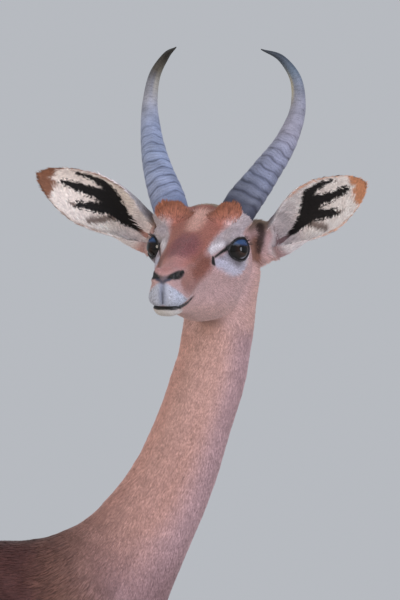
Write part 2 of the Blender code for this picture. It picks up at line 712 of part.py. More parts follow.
def ear(side, rows=15, columns=8):
    """A leaf-shaped cup: a funnel at the root that opens forward and flattens to a rounded tip."""
    root, along, across, facing, length = ear_frame(side)
    spans = curve_through([[e.reach * length, e.above, e.below, e.wrap] for e in EAR_SPANS], rows)
    outer, inner = [], []
    for reach, above, below, wrap in spans:
        wrap = math.radians(wrap)
        widest = 1.0 if wrap > math.pi / 2 else math.sin(wrap)
        radius = (above + below) / 2 / widest
        wall = min(EAR_THICKNESS, 0.45 * (above + below))
        for j in range(columns + 1):
            v = 2 * j / columns - 1
            turn = v * wrap
            half = above if v > 0 else below
            hollow = EAR_DEPTH * radius
            aside, back = math.sin(turn) / widest, math.cos(turn)
            thin = wall * (1 - 0.5 * abs(v) ** 5)
            place = root + along * reach
            rim = place + facing * (math.cos(wrap) * hollow)
            outer.append(rim + across * (half * aside) - facing * (hollow * back))
            inward = across * (aside * widest) - facing * back
            inner.append(outer[-1] - inward.normalized() * thin)
    n = columns + 1
    total = rows * n
    faces = []
    for i in range(rows - 1):
        for j in range(columns):
            a, b, c, d = i * n + j, i * n + j + 1, (i + 1) * n + j + 1, (i + 1) * n + j
            faces += [(a, b, c), (a, c, d)]
            faces += [(total + a, total + c, total + b), (total + a, total + d, total + c)]
        for j in (0, columns):
            a, d = i * n + j, (i + 1) * n + j
            faces.append((a, d, total + d, total + a) if j else (d, a, total + a, total + d))
    for i in (0, rows - 1):
        for j in range(columns):
            a, b = i * n + j, i * n + j + 1
            faces.append((b, a, total + a, total + b) if i == 0 else (a, b, total + b, total + a))
    return mesh_object("ear", outer + inner, faces)


def lock(root, lie, bend, length, width, thickness, rings=4):
    """A flat tapered lock of hair that leaves its root along the lie and bends away as it goes."""
    root, lie, bend = Vector(root), Vector(lie).normalized(), Vector(bend)
    across = lie.cross(bend)
    across = across.normalized() if across.length > 1e-6 else lie.orthogonal().normalized()
    points = []
    for i in range(rings):
        t = i / (rings - 1)
        place = root + lie * (length * t) + bend * (length * t * t)
        heading = (lie + bend * (2 * t)).normalized()
        rise = across.cross(heading)
        share = (1 - t**2.4) * (0.80 + 0.45 * t) + 0.10
        half, deep = width / 2 * share, thickness / 2 * share
        points += [place + across * half, place + rise * deep, place - across * half, place - rise * deep]
    return mesh_object("lock", points, ring_faces(rings, 4))


def brow_locks(head, side):
    """The dense brush of hair in front of a horn's base: rows of locks that lap upwards over a pad."""
    chance = random.Random(LOCK_SEED + side)
    corners = [v.co for v in head.data.vertices]
    skin = BVHTree.FromPolygons(corners, [p.vertices for p in head.data.polygons])
    pieces = []
    for height, count, spread in BROW_LOCK_ROWS:
        for i in range(count):
            across = spread * (2 * i / (count - 1) - 1)
            aside = side * (BROW_PAD_MIDDLE.x + BROW_TUFT_WIDTH / 2 * across)
            level = height - 0.0040 * across * across
            root, normal, _, _ = skin.ray_cast(Vector((aside, 0.3, level)), Vector((0.0, -1.0, 0.0)))
            upward = Vector((side * 0.25 * across, 0.0, 1.0))
            lie = (upward - normal * upward.dot(normal)).normalized() + normal * 0.34
            length = BROW_LOCK_LENGTH * chance.uniform(0.90, 1.10)
            start = root - normal * BROW_ROOT_SUNK
            pieces.append(lock(start, lie, -normal * 0.26, length, BROW_LOCK_WIDTH, BROW_LOCK_THICKNESS))
    return pieces


def tail(gap_body):
    """A thin hanging tail with a brush of long black hair on its lower half."""
    chance = random.Random(LOCK_SEED)
    rows = [[p.x, 0.0, p.z, p.radius] for p in TAIL_LINE]
    fine = curve_through(rows, 101)
    core = tube_along("tail", fine[::9], 8, up=(0.0, 1.0, 0.0))
    pieces = []
    for i in range(TAIL_TUFT_LOCKS):
        t = TAIL_TUFT_REACH[0] + (TAIL_TUFT_REACH[1] - TAIL_TUFT_REACH[0]) * i / (TAIL_TUFT_LOCKS - 1)
        at = fine[int(t * 100)]
        turn = i * GOLDEN_TURN + chance.uniform(-0.3, 0.3)
        out = Vector((math.cos(turn), math.sin(turn), 0.0))
        root = Vector(at[:3]) + out * (at[3] * 0.30)
        lie = Vector((0.0, 0.0, -1.0)) + out * TAIL_TUFT_SPREAD * (1.1 - 0.8 * t)
        length = TAIL_TUFT_LENGTH * chance.uniform(0.80, 1.10)
        pieces.append(lock(root, lie, -out * 0.16, length, TAIL_LOCK_WIDTH, TAIL_LOCK_THICKNESS))
    joined(core, pieces)
    return boolean(core, gap_body, "DIFFERENCE")


def grown(item, distance=FIT_GAP):
    """A copy of a solid, pushed out along its surface by the gap that neighbours keep."""
    made = copy_of(item, item.name + "_grown")
    normals = [v.normal.copy() for v in made.data.vertices]
    for vert, normal in zip(made.data.vertices, normals):
        vert.co += normal * distance
    return made


def coronet_height(forward):
    """Height of a hoof's upper rim above the ground, that far ahead of the hoof's middle."""
    slope = (HOOF_FRONT_HEIGHT - HOOF_BACK_HEIGHT) / (HOOF_LENGTH * 0.62)
    return (HOOF_FRONT_HEIGHT + HOOF_BACK_HEIGHT) / 2 + slope * forward


def hoof(middle_x, middle_y, side):
    """One of a foot's two pointed hooves: flat below, its upper rim sloping down to the heel."""
    around, levels = 16, 4
    half_width = (HOOF_PAIR_WIDTH - HOOF_CLEFT) / 4
    points = []
    for level in range(levels):
        t = level / (levels - 1)
        for i in range(around):
            turn = 2 * math.pi * i / around
            c, s = math.cos(turn), math.sin(turn)
            toe = max(0.0, c)
            sole_x = HOOF_LENGTH * (HOOF_SOLE_REACH * c + HOOF_TOE_REACH * toe)
            sole_y = half_width * s * (1 - HOOF_TOE_TAPER * toe**4)
            inward = (1 - abs(s)) * toe * half_width * HOOF_TOE_INWARD
            rim_x, rim_y = HOOF_LENGTH * HOOF_RIM_REACH * c, half_width * s * HOOF_RIM_WIDTH
            x = sole_x * (1 - t) + rim_x * t - HOOF_RIM_SETBACK * t
            y = sole_y * (1 - t) + rim_y * t
            z = t * coronet_height(x)
            centre = side * (HOOF_CLEFT / 2 + half_width)
            points.append((middle_x + x, middle_y + centre + y - side * inward * (1 - t), z))
    return mesh_object("hoof", points, ring_faces(levels, around))


def foot_place(joints, corner):
    """Ground point under the middle of a foot's pair of hooves."""
    last = leg_rows(joints, corner)[-2]
    return last[0] + HOOF_RIM_SETBACK, last[1]


def lower_leg(name, joints, corner, cut_height):
    """The leg from the knee or hock down to the hooves' upper rims."""
    limb = leg_tube(name, joints[6:], corner, 20, 10)
    boolean(limb, half_space("above", (0, 0, cut_height - NODE_GAP), (0, 0, -1)), "DIFFERENCE")
    x, y = foot_place(joints, corner)
    slope = (coronet_height(HOOF_LENGTH) - coronet_height(0.0)) / HOOF_LENGTH
    plane = Vector((x, y, coronet_height(0.0) + FIT_GAP))
    return boolean(limb, half_space("hooves", plane, (-slope, 0.0, 1.0)), "DIFFERENCE")


def leg_region(corner):
    """The box that divides a leg's upper part from the trunk."""
    side = 1 if corner.endswith("left") else -1
    hind = corner.startswith("hind")
    low, high = HIND_LEG_REGION if hind else FORE_LEG_REGION
    inner, outer = sorted((side * low[1], side * high[1]))
    low, high = Vector((low[0], inner, low[2])), Vector((high[0], outer, high[2]))
    made = box("region", low, high)
    turn = Matrix.Rotation(HIND_REGION_LEAN if hind else 0.0, 4, "Y")
    middle = Matrix.Translation((low + high) / 2)
    made.data.transform(middle @ turn @ middle.inverted())
    return made


def legs():
    return {
        "fore_left": FORE_LEG,
        "fore_right": FORE_LEG,
        "hind_left": HIND_LEG,
        "hind_right": HIND_LEG,
    }


def main():
    clear_scene()
    parts = new_collection("gerenuk")
    frame = head_matrix()
    sides = ((1, "left"), (-1, "right"))

    # The trunk, neck and upper legs as one skin, then parted
    body_pieces = [spine_tube()]
    for corner, joints in legs().items():
        body_pieces.append(leg_tube(corner, joints[:9], corner))
    body = fused("body", body_pieces, BODY_VOXEL, 6, BODY_TRIANGLES)
    for corner, joints in legs().items():
        cut_height = HOCK_CUT if corner.startswith("hind") else KNEE_CUT
        upper = copy_of(body, corner + "_upper")
        region = leg_region(corner)
        boolean(upper, region, "INTERSECT", keep_other=True)
        boolean(upper, half_space("below", (0, 0, cut_height), (0, 0, 1)), "DIFFERENCE")
        boolean(body, grown(region, NODE_GAP * 2), "DIFFERENCE")
        bpy.data.objects.remove(region)
        finished(largest_body(upper), corner + "_upper_leg", "fawn_coat", parts)
        lower = lower_leg(corner + "_lower", joints, corner, cut_height)
        finished(lower, corner + "_lower_leg", "fawn_coat", parts)
        x, y = foot_place(joints, corner)
        outward = 1 if corner.endswith("left") else -1
        for side, name in ((outward, "outer"), (-outward, "inner")):
            finished(hoof(x, y, side), corner + "_hoof_" + name, "hoof", parts)
    lean = Vector((math.cos(NECK_ROOT_LEAN), 0.0, math.sin(NECK_ROOT_LEAN)))
    neck = copy_of(body, "neck")
    boolean(neck, half_space("behind", NECK_ROOT_CUT + lean * NODE_GAP, lean), "DIFFERENCE")
    boolean(neck, half_space("above", THROAT_CUT - Vector((0, 0, NODE_GAP)), (0, 0, -1)), "DIFFERENCE")
    torso = boolean(body, half_space("ahead", NECK_ROOT_CUT, -lean), "DIFFERENCE")
    finished(largest_body(neck), "neck", "fawn_coat", parts)
    finished(tail(grown(largest_body(torso))), "tail", "tail_hair", parts)
    finished(torso, "torso", "saddle_coat", parts)

    # The head, with sockets and openings cut in its own frame
    head = head_skin()
    for side, _ in sides:
        boolean(head, nostril_cutter(side), "DIFFERENCE")
        boolean(head, lid_opening(side), "DIFFERENCE")
        socket = ellipsoid("socket", eye_centre(side), (EYE_RADIUS + FIT_GAP,) * 3, segments=16)
        boolean(head, socket, "DIFFERENCE")
    boolean(head, boolean(mouth_cutter(), mouth_core(), "DIFFERENCE"), "DIFFERENCE")
    joined(head, brow_locks(head, 1) + brow_locks(head, -1))
    for side, name in sides:
        one = horn(side)
        boolean(head, grown(one), "DIFFERENCE")
        moved(one, frame)
        finished(one, "horn_" + name, "horn", parts)
        eye = ellipsoid("eye", eye_centre(side), (EYE_RADIUS,) * 3, segments=16)
        moved(eye, frame)
        finished(eye, "eye_" + name, "eye", parts)
    largest_body(head)
    for side, name in sides:
        one = ear(side)
        boolean(one, grown(head), "DIFFERENCE")
        moved(one, frame)
        finished(largest_body(one), "ear_" + name, "fawn_coat", parts)
    moved(head, frame)
    boolean(head, half_space("below", THROAT_CUT, (0, 0, 1)), "DIFFERENCE")
    finished(largest_body(head), "head", "fawn_coat", parts)

    for item in parts.objects:
        item.data.transform(Matrix.Translation(STAND_SHIFT))


main()
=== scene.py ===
import math

import bmesh
import bpy
import numpy as np
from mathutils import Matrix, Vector


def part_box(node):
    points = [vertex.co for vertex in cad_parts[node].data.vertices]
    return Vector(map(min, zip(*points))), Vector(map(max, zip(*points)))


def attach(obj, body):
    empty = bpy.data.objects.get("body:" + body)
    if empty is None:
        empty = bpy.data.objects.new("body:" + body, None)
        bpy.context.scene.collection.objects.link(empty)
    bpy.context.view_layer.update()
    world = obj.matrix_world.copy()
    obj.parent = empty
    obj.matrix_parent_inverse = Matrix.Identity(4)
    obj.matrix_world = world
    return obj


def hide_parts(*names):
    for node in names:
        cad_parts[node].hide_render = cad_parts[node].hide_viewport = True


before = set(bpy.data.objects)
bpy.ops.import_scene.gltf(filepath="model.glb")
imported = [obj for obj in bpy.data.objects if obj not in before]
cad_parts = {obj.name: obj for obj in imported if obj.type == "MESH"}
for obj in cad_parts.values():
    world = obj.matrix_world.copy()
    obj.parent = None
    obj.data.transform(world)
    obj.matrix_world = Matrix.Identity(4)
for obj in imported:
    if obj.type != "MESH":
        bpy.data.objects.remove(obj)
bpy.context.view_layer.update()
scene = bpy.context.scene
bothSides = ((1, "left"), (-1, "right"))
print("frame loaded:", len(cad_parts), "nodes")

# A gerenuk buck: one skin over the flesh, short fur planted on it, then eyes, horns and hooves.
# Lengths are in metres. Body places are given with the animal's middle at y = 0, before it was
# stood over the origin; head places are (aside to its left, forward, up) from between the eyes.


def linear(code):  # sRGB hex to linear colour
    values = np.array([int(code[i:i + 2], 16) / 255 for i in (1, 3, 5)])
    return np.where(values <= 0.04045, values / 12.92, ((values + 0.055) / 1.055) ** 2.4)


def unit(v):
    return v / np.maximum(np.linalg.norm(v, axis=-1, keepdims=True), 1e-12)


def ramp(value, low, high):  # smooth 0 to 1 from low to high, either way round
    t = np.clip((value - low) / (high - low), 0, 1)
    return t * t * (3 - 2 * t)


def mix(a, b, share):
    share = np.asarray(share)[..., None]
    return a * (1 - share) + b * share


def lineDistance(points, line):  # distance to a line of (place, half width), less the half width
    line = np.array(line, float)
    best = np.full(len(points), 1e9)
    for a, b in zip(line[:-1], line[1:]):
        step = b[:-1] - a[:-1]
        along = np.clip((points - a[:-1]) @ step / max(step @ step, 1e-12), 0, 1)
        gap = np.linalg.norm(points - a[:-1] - along[:, None] * step, axis=1)
        best = np.minimum(best, gap - a[-1] - along * (b[-1] - a[-1]))
    return best


def curveThrough(rows, count):  # evenly spaced rows on a smooth curve through the given ones
    rows = np.array(rows, float)
    lengths = np.linalg.norm(np.diff(rows[:, :3], axis=0), axis=1)
    knots = np.concatenate([[0.0], np.cumsum(lengths)])
    spans = np.diff(knots)
    slopes = np.diff(rows, axis=0) / spans[:, None]
    tangents = np.empty_like(rows)
    tangents[0], tangents[-1] = slopes[0], slopes[-1]
    before, after = spans[:-1, None], spans[1:, None]
    tangents[1:-1] = (slopes[:-1] * after + slopes[1:] * before) / (before + after)
    at = np.linspace(0.0, knots[-1], count)
    i = np.clip(np.searchsorted(knots, at, side="right") - 1, 0, len(spans) - 1)
    t = ((at - knots[i]) / spans[i])[:, None]
    step = spans[i][:, None]
    return ((2 * t**3 - 3 * t**2 + 1) * rows[i] + (t**3 - 2 * t**2 + t) * step * tangents[i]
            + (3 * t**2 - 2 * t**3) * rows[i + 1] + (t**3 - t**2) * step * tangents[i + 1])


def ringFaces(rings, around, closed=True):
    faces = [(i * around + j, i * around + (j + 1) % around,
              (i + 1) * around + (j + 1) % around, (i + 1) * around + j)
             for i in range(rings - 1) for j in range(around)]
    if closed:
        faces.append(tuple(range(around))[::-1])
        faces.append(tuple((rings - 1) * around + j for j in range(around)))
    return faces


def loft(centres, ups, sides, around, downs=None, egg=0.0):
    downs = ups if downs is None else downs
    turns = np.linspace(0, 2 * math.pi, around, endpoint=False)
    height, width = np.cos(turns), np.sin(turns) * (1 - egg * np.cos(turns))
    rise = np.where(height[None, :, None] > 0, ups[:, None, :], downs[:, None, :])
    points = centres[:, None, :] + rise * height[None, :, None] + sides[:, None, :] * width[None, :, None]
    return points.reshape(-1, 3), ringFaces(len(centres), around)


def tube(rows, around, up=(0.0, 0.0, 1.0)):  # rows are x, y, z and radius
    centres, radii = rows[:, 0:3], rows[:, 3:4]
    along = unit(np.gradient(centres, axis=0))
    side = unit(np.cross(along, np.array([up], float)))
    return loft(centres, np.cross(side, along) * radii, side * radii, around)


def ball(centre, radii, rings=24, around=32):
    turns = np.linspace(0.04, math.pi - 0.04, rings)[:, None]
    centres = np.array(centre) + np.array([0, 0, 1.0]) * np.cos(turns) * radii[2]
    return loft(centres, np.sin(turns) * np.array([[radii[0], 0, 0]]),
                np.sin(turns) * np.array([[0, radii[1], 0]]), around)


def newObject(name, points, faces, material=None):
    mesh = bpy.data.meshes.new(name)
    mesh.from_pydata(np.asarray(points, float).tolist(), [], [list(f) for f in faces])
    made = bpy.data.objects.new(name, mesh)
    scene.collection.objects.link(made)
    edit = bmesh.new()
    edit.from_mesh(mesh)
    bmesh.ops.recalc_face_normals(edit, faces=edit.faces)
    edit.to_mesh(mesh)
    edit.free()
    mesh.shade_smooth()
    if material:
        mesh.materials.append(material)
    return made


def paint(mesh, name, colours):  # a colour for each point, in linear values
    layer = mesh.attributes.new(name, "FLOAT_COLOR", "POINT")
    full = np.concatenate([np.clip(colours, 0, 1), np.ones((len(colours), 1))], axis=1)
    layer.data.foreach_set("color", full.astype(np.float32).ravel())


def addNode(tree, kind, settings=None, links=None):
    node = tree.nodes.new(kind)
    for name, value in (settings or {}).items():
        if name in node.inputs:
            node.inputs[name].default_value = value
        else:
            setattr(node, name, value)
    for name, socket in (links or {}).items():
        tree.links.new(socket, node.inputs[name])
    return node


def newMaterial(name):  # a material with only an output; returns it with its tree
    made = bpy.data.materials.new(name)
    made.use_nodes = True
    made.node_tree.nodes.clear()
    return made, made.node_tree


def finishMaterial(tree, settings, links):
    shader = addNode(tree, "ShaderNodeBsdfPrincipled", settings, links)
    addNode(tree, "ShaderNodeOutputMaterial", {}, {"Surface": shader.outputs[0]})


def streakedTint(tree, attribute, noise, darkest, palest, place=None):  # a painted colour, streaked
    tint = addNode(tree, "ShaderNodeAttribute", {"attribute_name": attribute})
    streaks = addNode(tree, "ShaderNodeTexNoise", noise, {"Vector": place} if place else {})
    shade = addNode(tree, "ShaderNodeMapRange",
                    {"From Min": 0.3, "From Max": 0.7, "To Min": darkest, "To Max": palest},
                    {"Value": streaks.outputs["Fac"]})
    toned = addNode(tree, "ShaderNodeVectorMath", {"operation": "SCALE"},
                    {"Vector": tint.outputs["Color"], "Scale": shade.outputs["Result"]})
    return toned.outputs["Vector"], streaks.outputs["Fac"]


def centreOf(node):
    low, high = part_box(node)
    return (np.array(low) + np.array(high)) / 2


eye = {
    "radius": 0.0172,
    "behind": 0.0080,  # its centre lies this far behind the head's zero
    "look": (0.86, 0.50, 0.06),
    # the lids' edge on the eyeball, from the tear corner over the top: towards the nose, up
    "lids": [
        (0.0146, -0.0064), (0.0146, -0.0016), (0.0128, 0.0042), (0.0088, 0.0084), (0.0020, 0.0108),
        (-0.0046, 0.0114), (-0.0096, 0.0100), (-0.0118, 0.0060), (-0.0116, 0.0006), (-0.0090, -0.0052),
        (-0.0052, -0.0100), (0.0010, -0.0119), (0.0074, -0.0104), (0.0122, -0.0082),
    ],
    "lidMiddle": (0.0010, 0.0),
    "lidStands": 0.0012,
    "rimAbove": 0.0014,  # half widths of the bare black edge
    "rimBelow": 0.0010,
    "rimThick": 0.0009,
    "rimOff": 0.0005,  # how far the edge's middle stands off the eyeball
    "creaseAt": 1.36,
    "creaseDepth": 0.0008,
    "corneaStands": 0.0011,
    # painted reflection of the sky on the eyeball's upper part
    "paintedSkyReflection": "#33507a",
    "iris": ("#2b1a12", "#150c09", "#0a0807"),  # inner, outer, rim
    "pupil": "#030303",
    "pupilHalf": (6.8, 4.2),  # mm, it lies level
    "paintedGlint": "#8b8f9c",  # painted glint along the rear edge
    "lidSkin": ("#070607", "#1b1619"),
    "lidEdge": "#0b090a",
    "lidBehind": "#d8ced4",
    "lowerLid": "#a8a3ae",
    # painted shadow by the eye's front corner
    "paintedCornerShadow": "#5d555a",
}

eyeLeft, eyeRight = centreOf("eye_left"), centreOf("eye_right")
aside = unit(eyeLeft - eyeRight)
forward = unit(np.cross(aside, (0, 0, 1)))
headAxes = np.array([aside, forward, np.cross(forward, aside)])
eyeMiddle = (eyeLeft + eyeRight) / 2 + forward * eye["behind"]
eyeSpacing = np.linalg.norm(eyeLeft - eyeRight) / 2
bodyShift = eyeMiddle - np.array([0.395, -0.085, 1.258])  # how far the animal was moved to stand


def toWorld(places):
    return eyeMiddle + np.asarray(places, float) @ headAxes


def toHead(points):
    return (points - eyeMiddle) @ headAxes.T


def foldedHead(points):  # the same in mm, with the right side folded onto the left
    places = toHead(points) * 1000
    places[:, 0] = abs(places[:, 0])
    return places


def toBody(points):
    return points - bodyShift


footSteps = {(True, True): 0.030, (True, False): -0.022, (False, True): -0.030, (False, False): 0.034}


def plainLegs(places):  # body places as if each foot stood straight under its leg
    x, y, z = places.T
    down = np.clip((0.700 - z) / 0.660, 0, 1)
    step = np.zeros(len(places))
    for (fore, left), far in footSteps.items():
        step[((x > -0.08) == fore) & ((y > 0) == left)] = far
    return np.stack([x - step * down, y, z], axis=1)


# outlines in side view: the trunk's as (x, z), the neck's as (z, x)
backLine = [(-0.468, 0.875), (-0.425, 0.930), (-0.360, 0.953), (-0.190, 0.964), (0.020, 0.952),
            (0.165, 0.950), (0.226, 0.952), (0.300, 0.995), (0.350, 1.078)]
bellyLine = [(-0.472, 0.835), (-0.438, 0.725), (-0.375, 0.705), (-0.185, 0.694), (0.030, 0.642),
             (0.140, 0.626), (0.235, 0.638), (0.300, 0.692), (0.334, 0.766), (0.3725, 0.9010)]
napeLine = [(0.952, 0.226), (0.960, 0.252), (0.974, 0.278), (0.995, 0.300), (1.029, 0.326),
            (1.078, 0.350), (1.138, 0.371), (1.178, 0.381)]
throatLine = [(0.766, 0.334), (0.842, 0.352), (0.901, 0.373), (0.948, 0.393), (0.998, 0.413),
              (1.062, 0.433), (1.130, 0.452), (1.176, 0.458)]

head = {
    "voxel": 0.0014,
    # slices from nose to nape: forward, top, widest, bottom, half width
    "face": [
        (0.1405, -0.0320, -0.0420, -0.0480, 0.0060),
        (0.1365, -0.0255, -0.0480, -0.0590, 0.0120),
        (0.1290, -0.0210, -0.0520, -0.0630, 0.0168),
        (0.1180, -0.0172, -0.0525, -0.0630, 0.0196),
        (0.1020, -0.0130, -0.0480, -0.0610, 0.0202),
        (0.0830, -0.0060, -0.0380, -0.0580, 0.0222),
        (0.0630, 0.0015, -0.0300, -0.0565, 0.0258),
        (0.0430, 0.0105, -0.0240, -0.0560, 0.0318),
        (0.0230, 0.0195, -0.0190, -0.0560, 0.0385),
        (0.0030, 0.0295, -0.0150, -0.0565, 0.0440),
        (-0.0170, 0.0390, -0.0130, -0.0580, 0.0480),
        (-0.0370, 0.0475, -0.0120, -0.0600, 0.0490),
        (-0.0570, 0.0475, -0.0120, -0.0610, 0.0480),
        (-0.0760, 0.0370, -0.0130, -0.0620, 0.0440),
        (-0.0920, 0.0170, -0.0180, -0.0600, 0.0350),
        (-0.1010, -0.0100, -0.0260, -0.0450, 0.0180),
    ],
    "jaw": [
        (0.1290, -0.0580, -0.0610, -0.0640, 0.0060),
        (0.1230, -0.0540, -0.0620, -0.0700, 0.0135),
        (0.1080, -0.0500, -0.0600, -0.0715, 0.0155),
        (0.0820, -0.0450, -0.0560, -0.0695, 0.0165),
        (0.0550, -0.0400, -0.0530, -0.0695, 0.0200),
        (0.0300, -0.0300, -0.0510, -0.0720, 0.0265),
        (0.0050, -0.0200, -0.0480, -0.0758, 0.0350),
        (-0.0200, -0.0100, -0.0460, -0.0778, 0.0395),
        (-0.0450, -0.0100, -0.0430, -0.0740, 0.0390),
        (-0.0650, -0.0150, -0.0360, -0.0560, 0.0250),
    ],
    # the neck's upper end: back line (x, z), throat line (x, z), half width, aside
    "neckStub": [
        ((0.3500, 1.0780), (0.4325, 1.0620), 0.0405, 0.0),
        ((0.3705, 1.1380), (0.4520, 1.1300), 0.0415, 0.0),
        ((0.3805, 1.1780), (0.4575, 1.1760), 0.0440, 0.0),
        ((0.3830, 1.2080), (0.4605, 1.2080), 0.0450, -0.003),
        ((0.3880, 1.2380), (0.4630, 1.2380), 0.0400, -0.014),
        ((0.3990, 1.2680), (0.4500, 1.2680), 0.0260, -0.024),
    ],
    # rounded forms on each side: middle and radii
    "brow": ((0.0345, -0.0120, 0.0120), (0.0150, 0.0230, 0.0125)),
    "browPad": ((0.0300, -0.0150, 0.0350), (0.0165, 0.0105, 0.0115)),
    "nostrilWing": ((0.0094, 0.1215, -0.0292), (0.0070, 0.0165, 0.0090)),
    "pedicle": [
        (0.0260, -0.0230, 0.0160, 0.0170),
        (0.0310, -0.0240, 0.0280, 0.0196),
        (0.0352, -0.0280, 0.0375, 0.0203),
    ],
    "lidThickness": 0.0024,
}

ear = {
    "root": (0.0560, -0.0590, 0.0090),
    "tip": (0.1775, -0.0120, 0.0735),
    "facing": (0.10, 1.0, 0.0),
    "base": ((0.0500, -0.0690, 0.0080), (0.0205, 0.0170, 0.0258)),
    "depth": 0.72,
    "thickness": 0.0032,
    # reach along it, half widths above and below, and how far its sides wrap round, in degrees
    "spans": [
        (-0.10, 0.0140, 0.0205, 172),
        (0.00, 0.0150, 0.0240, 166),
        (0.15, 0.0200, 0.0245, 144),
        (0.30, 0.0270, 0.0230, 116),
        (0.45, 0.0315, 0.0265, 92),
        (0.60, 0.0318, 0.0285, 72),
        (0.75, 0.0262, 0.0240, 62),
        (0.88, 0.0180, 0.0165, 56),
        (0.96, 0.0100, 0.0090, 52),
        (1.00, 0.0025, 0.0025, 50),
    ],
}

earMarks = {
    # the dark brushes in the hollow, in mm: along the ear, up across it, half width
    "black": [
        [(8, -7, 1), (20, -5, 3), (32, -3, 5.5), (44, 0, 8.5), (54, 4, 11), (62, 9, 11)],
        [(62, 16, 6), (72, 21.5, 5), (84, 23, 3.5), (98, 22.5, 2.6), (110, 20, 1.5)],
        [(62, 9.5, 8), (78, 9.5, 6.5), (92, 7, 5.5), (106, 6.5, 4.5), (119, 4.5, 3)],
        [(56, 0, 6), (68, -4, 5.5), (80, -7.5, 5), (91, -11, 3.5)],
    ],
    "brown": [
        [(88, -10, 4), (96, -12.5, 2.8), (101, -13.5, 1.5)],
        [(48, -7, 3.5), (57, -13, 3.5), (65, -17.5, 3.2), (72, -21, 2.5)],
    ],
    "white": {1: "#efe8e5", -1: "#efe3da"},
    "shade": "#b9aaa6",
    "flap": "#ece2e2",
    # the ears' rust edge and tip: the left ear's copy painted lighter as painted light, the right ear's
    # darker as painted shade
    "rim": {1: "#c98c68", -1: "#80553f"},
    "dark": "#0a0809",
    "brownest": "#5b463d",
    "back": "#a98a7c",
    "baseTop": "#75636a",
}


def onSide(place, side):
    return np.array([side * place[0], place[1], place[2]])


def earAxes(side):  # root, the ear's length, width and open side, and how long it is
    root, tip = onSide(ear["root"], side), onSide(ear["tip"], side)
    along = unit(tip - root)
    facing = onSide(ear["facing"], side)
    facing = unit(facing - along * (facing @ along))
    return root, along, np.cross(facing, along) * -side, facing, np.linalg.norm(tip - root)


def earPlaces(points, side):  # world points as (along, across, out of the opening)
    root, along, across, facing, _ = earAxes(side)
    local = toHead(points) - root
    return np.stack([local @ along, local @ across, local @ facing], axis=1)


def headTube(slices, around=64, count=90):
    rows = [[0.0, f, widest, top - widest, widest - bottom, half] for f, top, widest, bottom, half in slices]
    rings = curveThrough(rows, count)
    upright, sideways = np.array([[0.0, 0.0, 1.0]]), np.array([[1.0, 0.0, 0.0]])
    return loft(rings[:, 0:3], rings[:, 3:4] * upright, rings[:, 5:6] * sideways, around,
                rings[:, 4:5] * upright)


def neckStub():
    rows = []
    for upper, lower, half, middle in head["neckStub"]:
        upper, lower = np.array(upper), np.array(lower)
        centre, reach = (upper + lower) / 2, (upper - lower) / 2
        rows.append([centre[0], middle, centre[1], reach[0], 0.0, reach[1], 0.0, half, 0.0])
    rings = curveThrough(rows, 40)
    points, faces = loft(rings[:, 0:3], rings[:, 3:6], rings[:, 6:9], 56, egg=0.10)
    return toHead(points + bodyShift), faces


def earShell(side, rows=70, columns=40):
    root, along, across, facing, length = earAxes(side)
    spans = curveThrough([[reach * length, above, below, wrap]
                          for reach, above, below, wrap in ear["spans"]], rows)
    v = np.linspace(-1, 1, columns + 1)[None, :, None]
    reach, above, below, wrap = [spans[:, k][:, None, None] for k in range(4)]
    wrap = np.radians(wrap)
    widest = np.where(wrap > math.pi / 2, 1.0, np.sin(wrap))
    hollow = ear["depth"] * (above + below) / 2 / widest
    turn = v * wrap
    half = np.where(v > 0, above, below)
    wall = np.minimum(ear["thickness"], 0.45 * (above + below)) * (1 - 0.5 * abs(v) ** 5)
    rim = root + along * reach + facing * (np.cos(wrap) * hollow)
    outer = rim + across * (half * np.sin(turn) / widest) - facing * (hollow * np.cos(turn))
    inner = outer - unit(across * np.sin(turn) - facing * np.cos(turn)) * wall
    n, total = columns + 1, rows * (columns + 1)
    faces = []
    for i in range(rows - 1):
        for j in range(columns):
            a, b, c, d = i * n + j, i * n + j + 1, (i + 1) * n + j + 1, (i + 1) * n + j
            faces += [(a, b, c, d), (total + a, total + d, total + c, total + b)]
        for a in (i * n, i * n + columns):
            faces.append((a, a + n, total + a + n, total + a))
    for a in [i * n + j for i in (0, rows - 1) for j in range(columns)]:
        faces.append((a, a + 1, total + a + 1, total + a))
    return np.concatenate([outer.reshape(-1, 3), inner.reshape(-1, 3)]), faces


skinPlan = {
    "bodyVoxel": 0.0046,
    "grown": 0.0006,  # how far the parted solids are swelled, to close the thin cuts between them
    "seamHeight": 1.1500,
    "bodyRounds": 36,  # smoothing
    "headRounds": 5,
    "coatDepthBody": 0.0020,
    "coatDepthHead": 0.0011,
    "coatDepthEar": 0.0004,
    "tail": [(-0.440, 0.9000, 0.0140), (-0.486, 0.8860, 0.0130), (-0.512, 0.8300, 0.0090),
             (-0.521, 0.7600, 0.0072), (-0.523, 0.7250, 0.0050)],
}


def largestShell(mesh):
    edit = bmesh.new()
    edit.from_mesh(mesh)
    unseen, shells = set(edit.verts), []
    while unseen:
        stack = [unseen.pop()]
        shell = list(stack)
        while stack:
            for edge in stack.pop().link_edges:
                for vert in edge.verts:
                    if vert in unseen:
                        unseen.remove(vert)
                        shell.append(vert)
                        stack.append(vert)
        shells.append(shell)
    shells.sort(key=len)
    for shell in shells[:-1]:
        bmesh.ops.delete(edit, geom=shell, context="VERTS")
    return edit


def fused(name, shells, voxel):  # one closed surface over overlapping shells, as a bmesh
    points, faces, start = [], [], 0
    for shellPoints, shellFaces in shells:
        points.append(shellPoints)
        faces += [[start + i for i in face] for face in shellFaces]
        start += len(shellPoints)
    made = newObject(name, np.concatenate(points), faces)
    remesh = made.modifiers.new("fuse", "REMESH")
    remesh.mode = "VOXEL"
    remesh.voxel_size = voxel
    graph = bpy.context.evaluated_depsgraph_get()
    mesh = bpy.data.meshes.new_from_object(made.evaluated_get(graph))
    bpy.data.objects.remove(made)
    return largestShell(mesh)


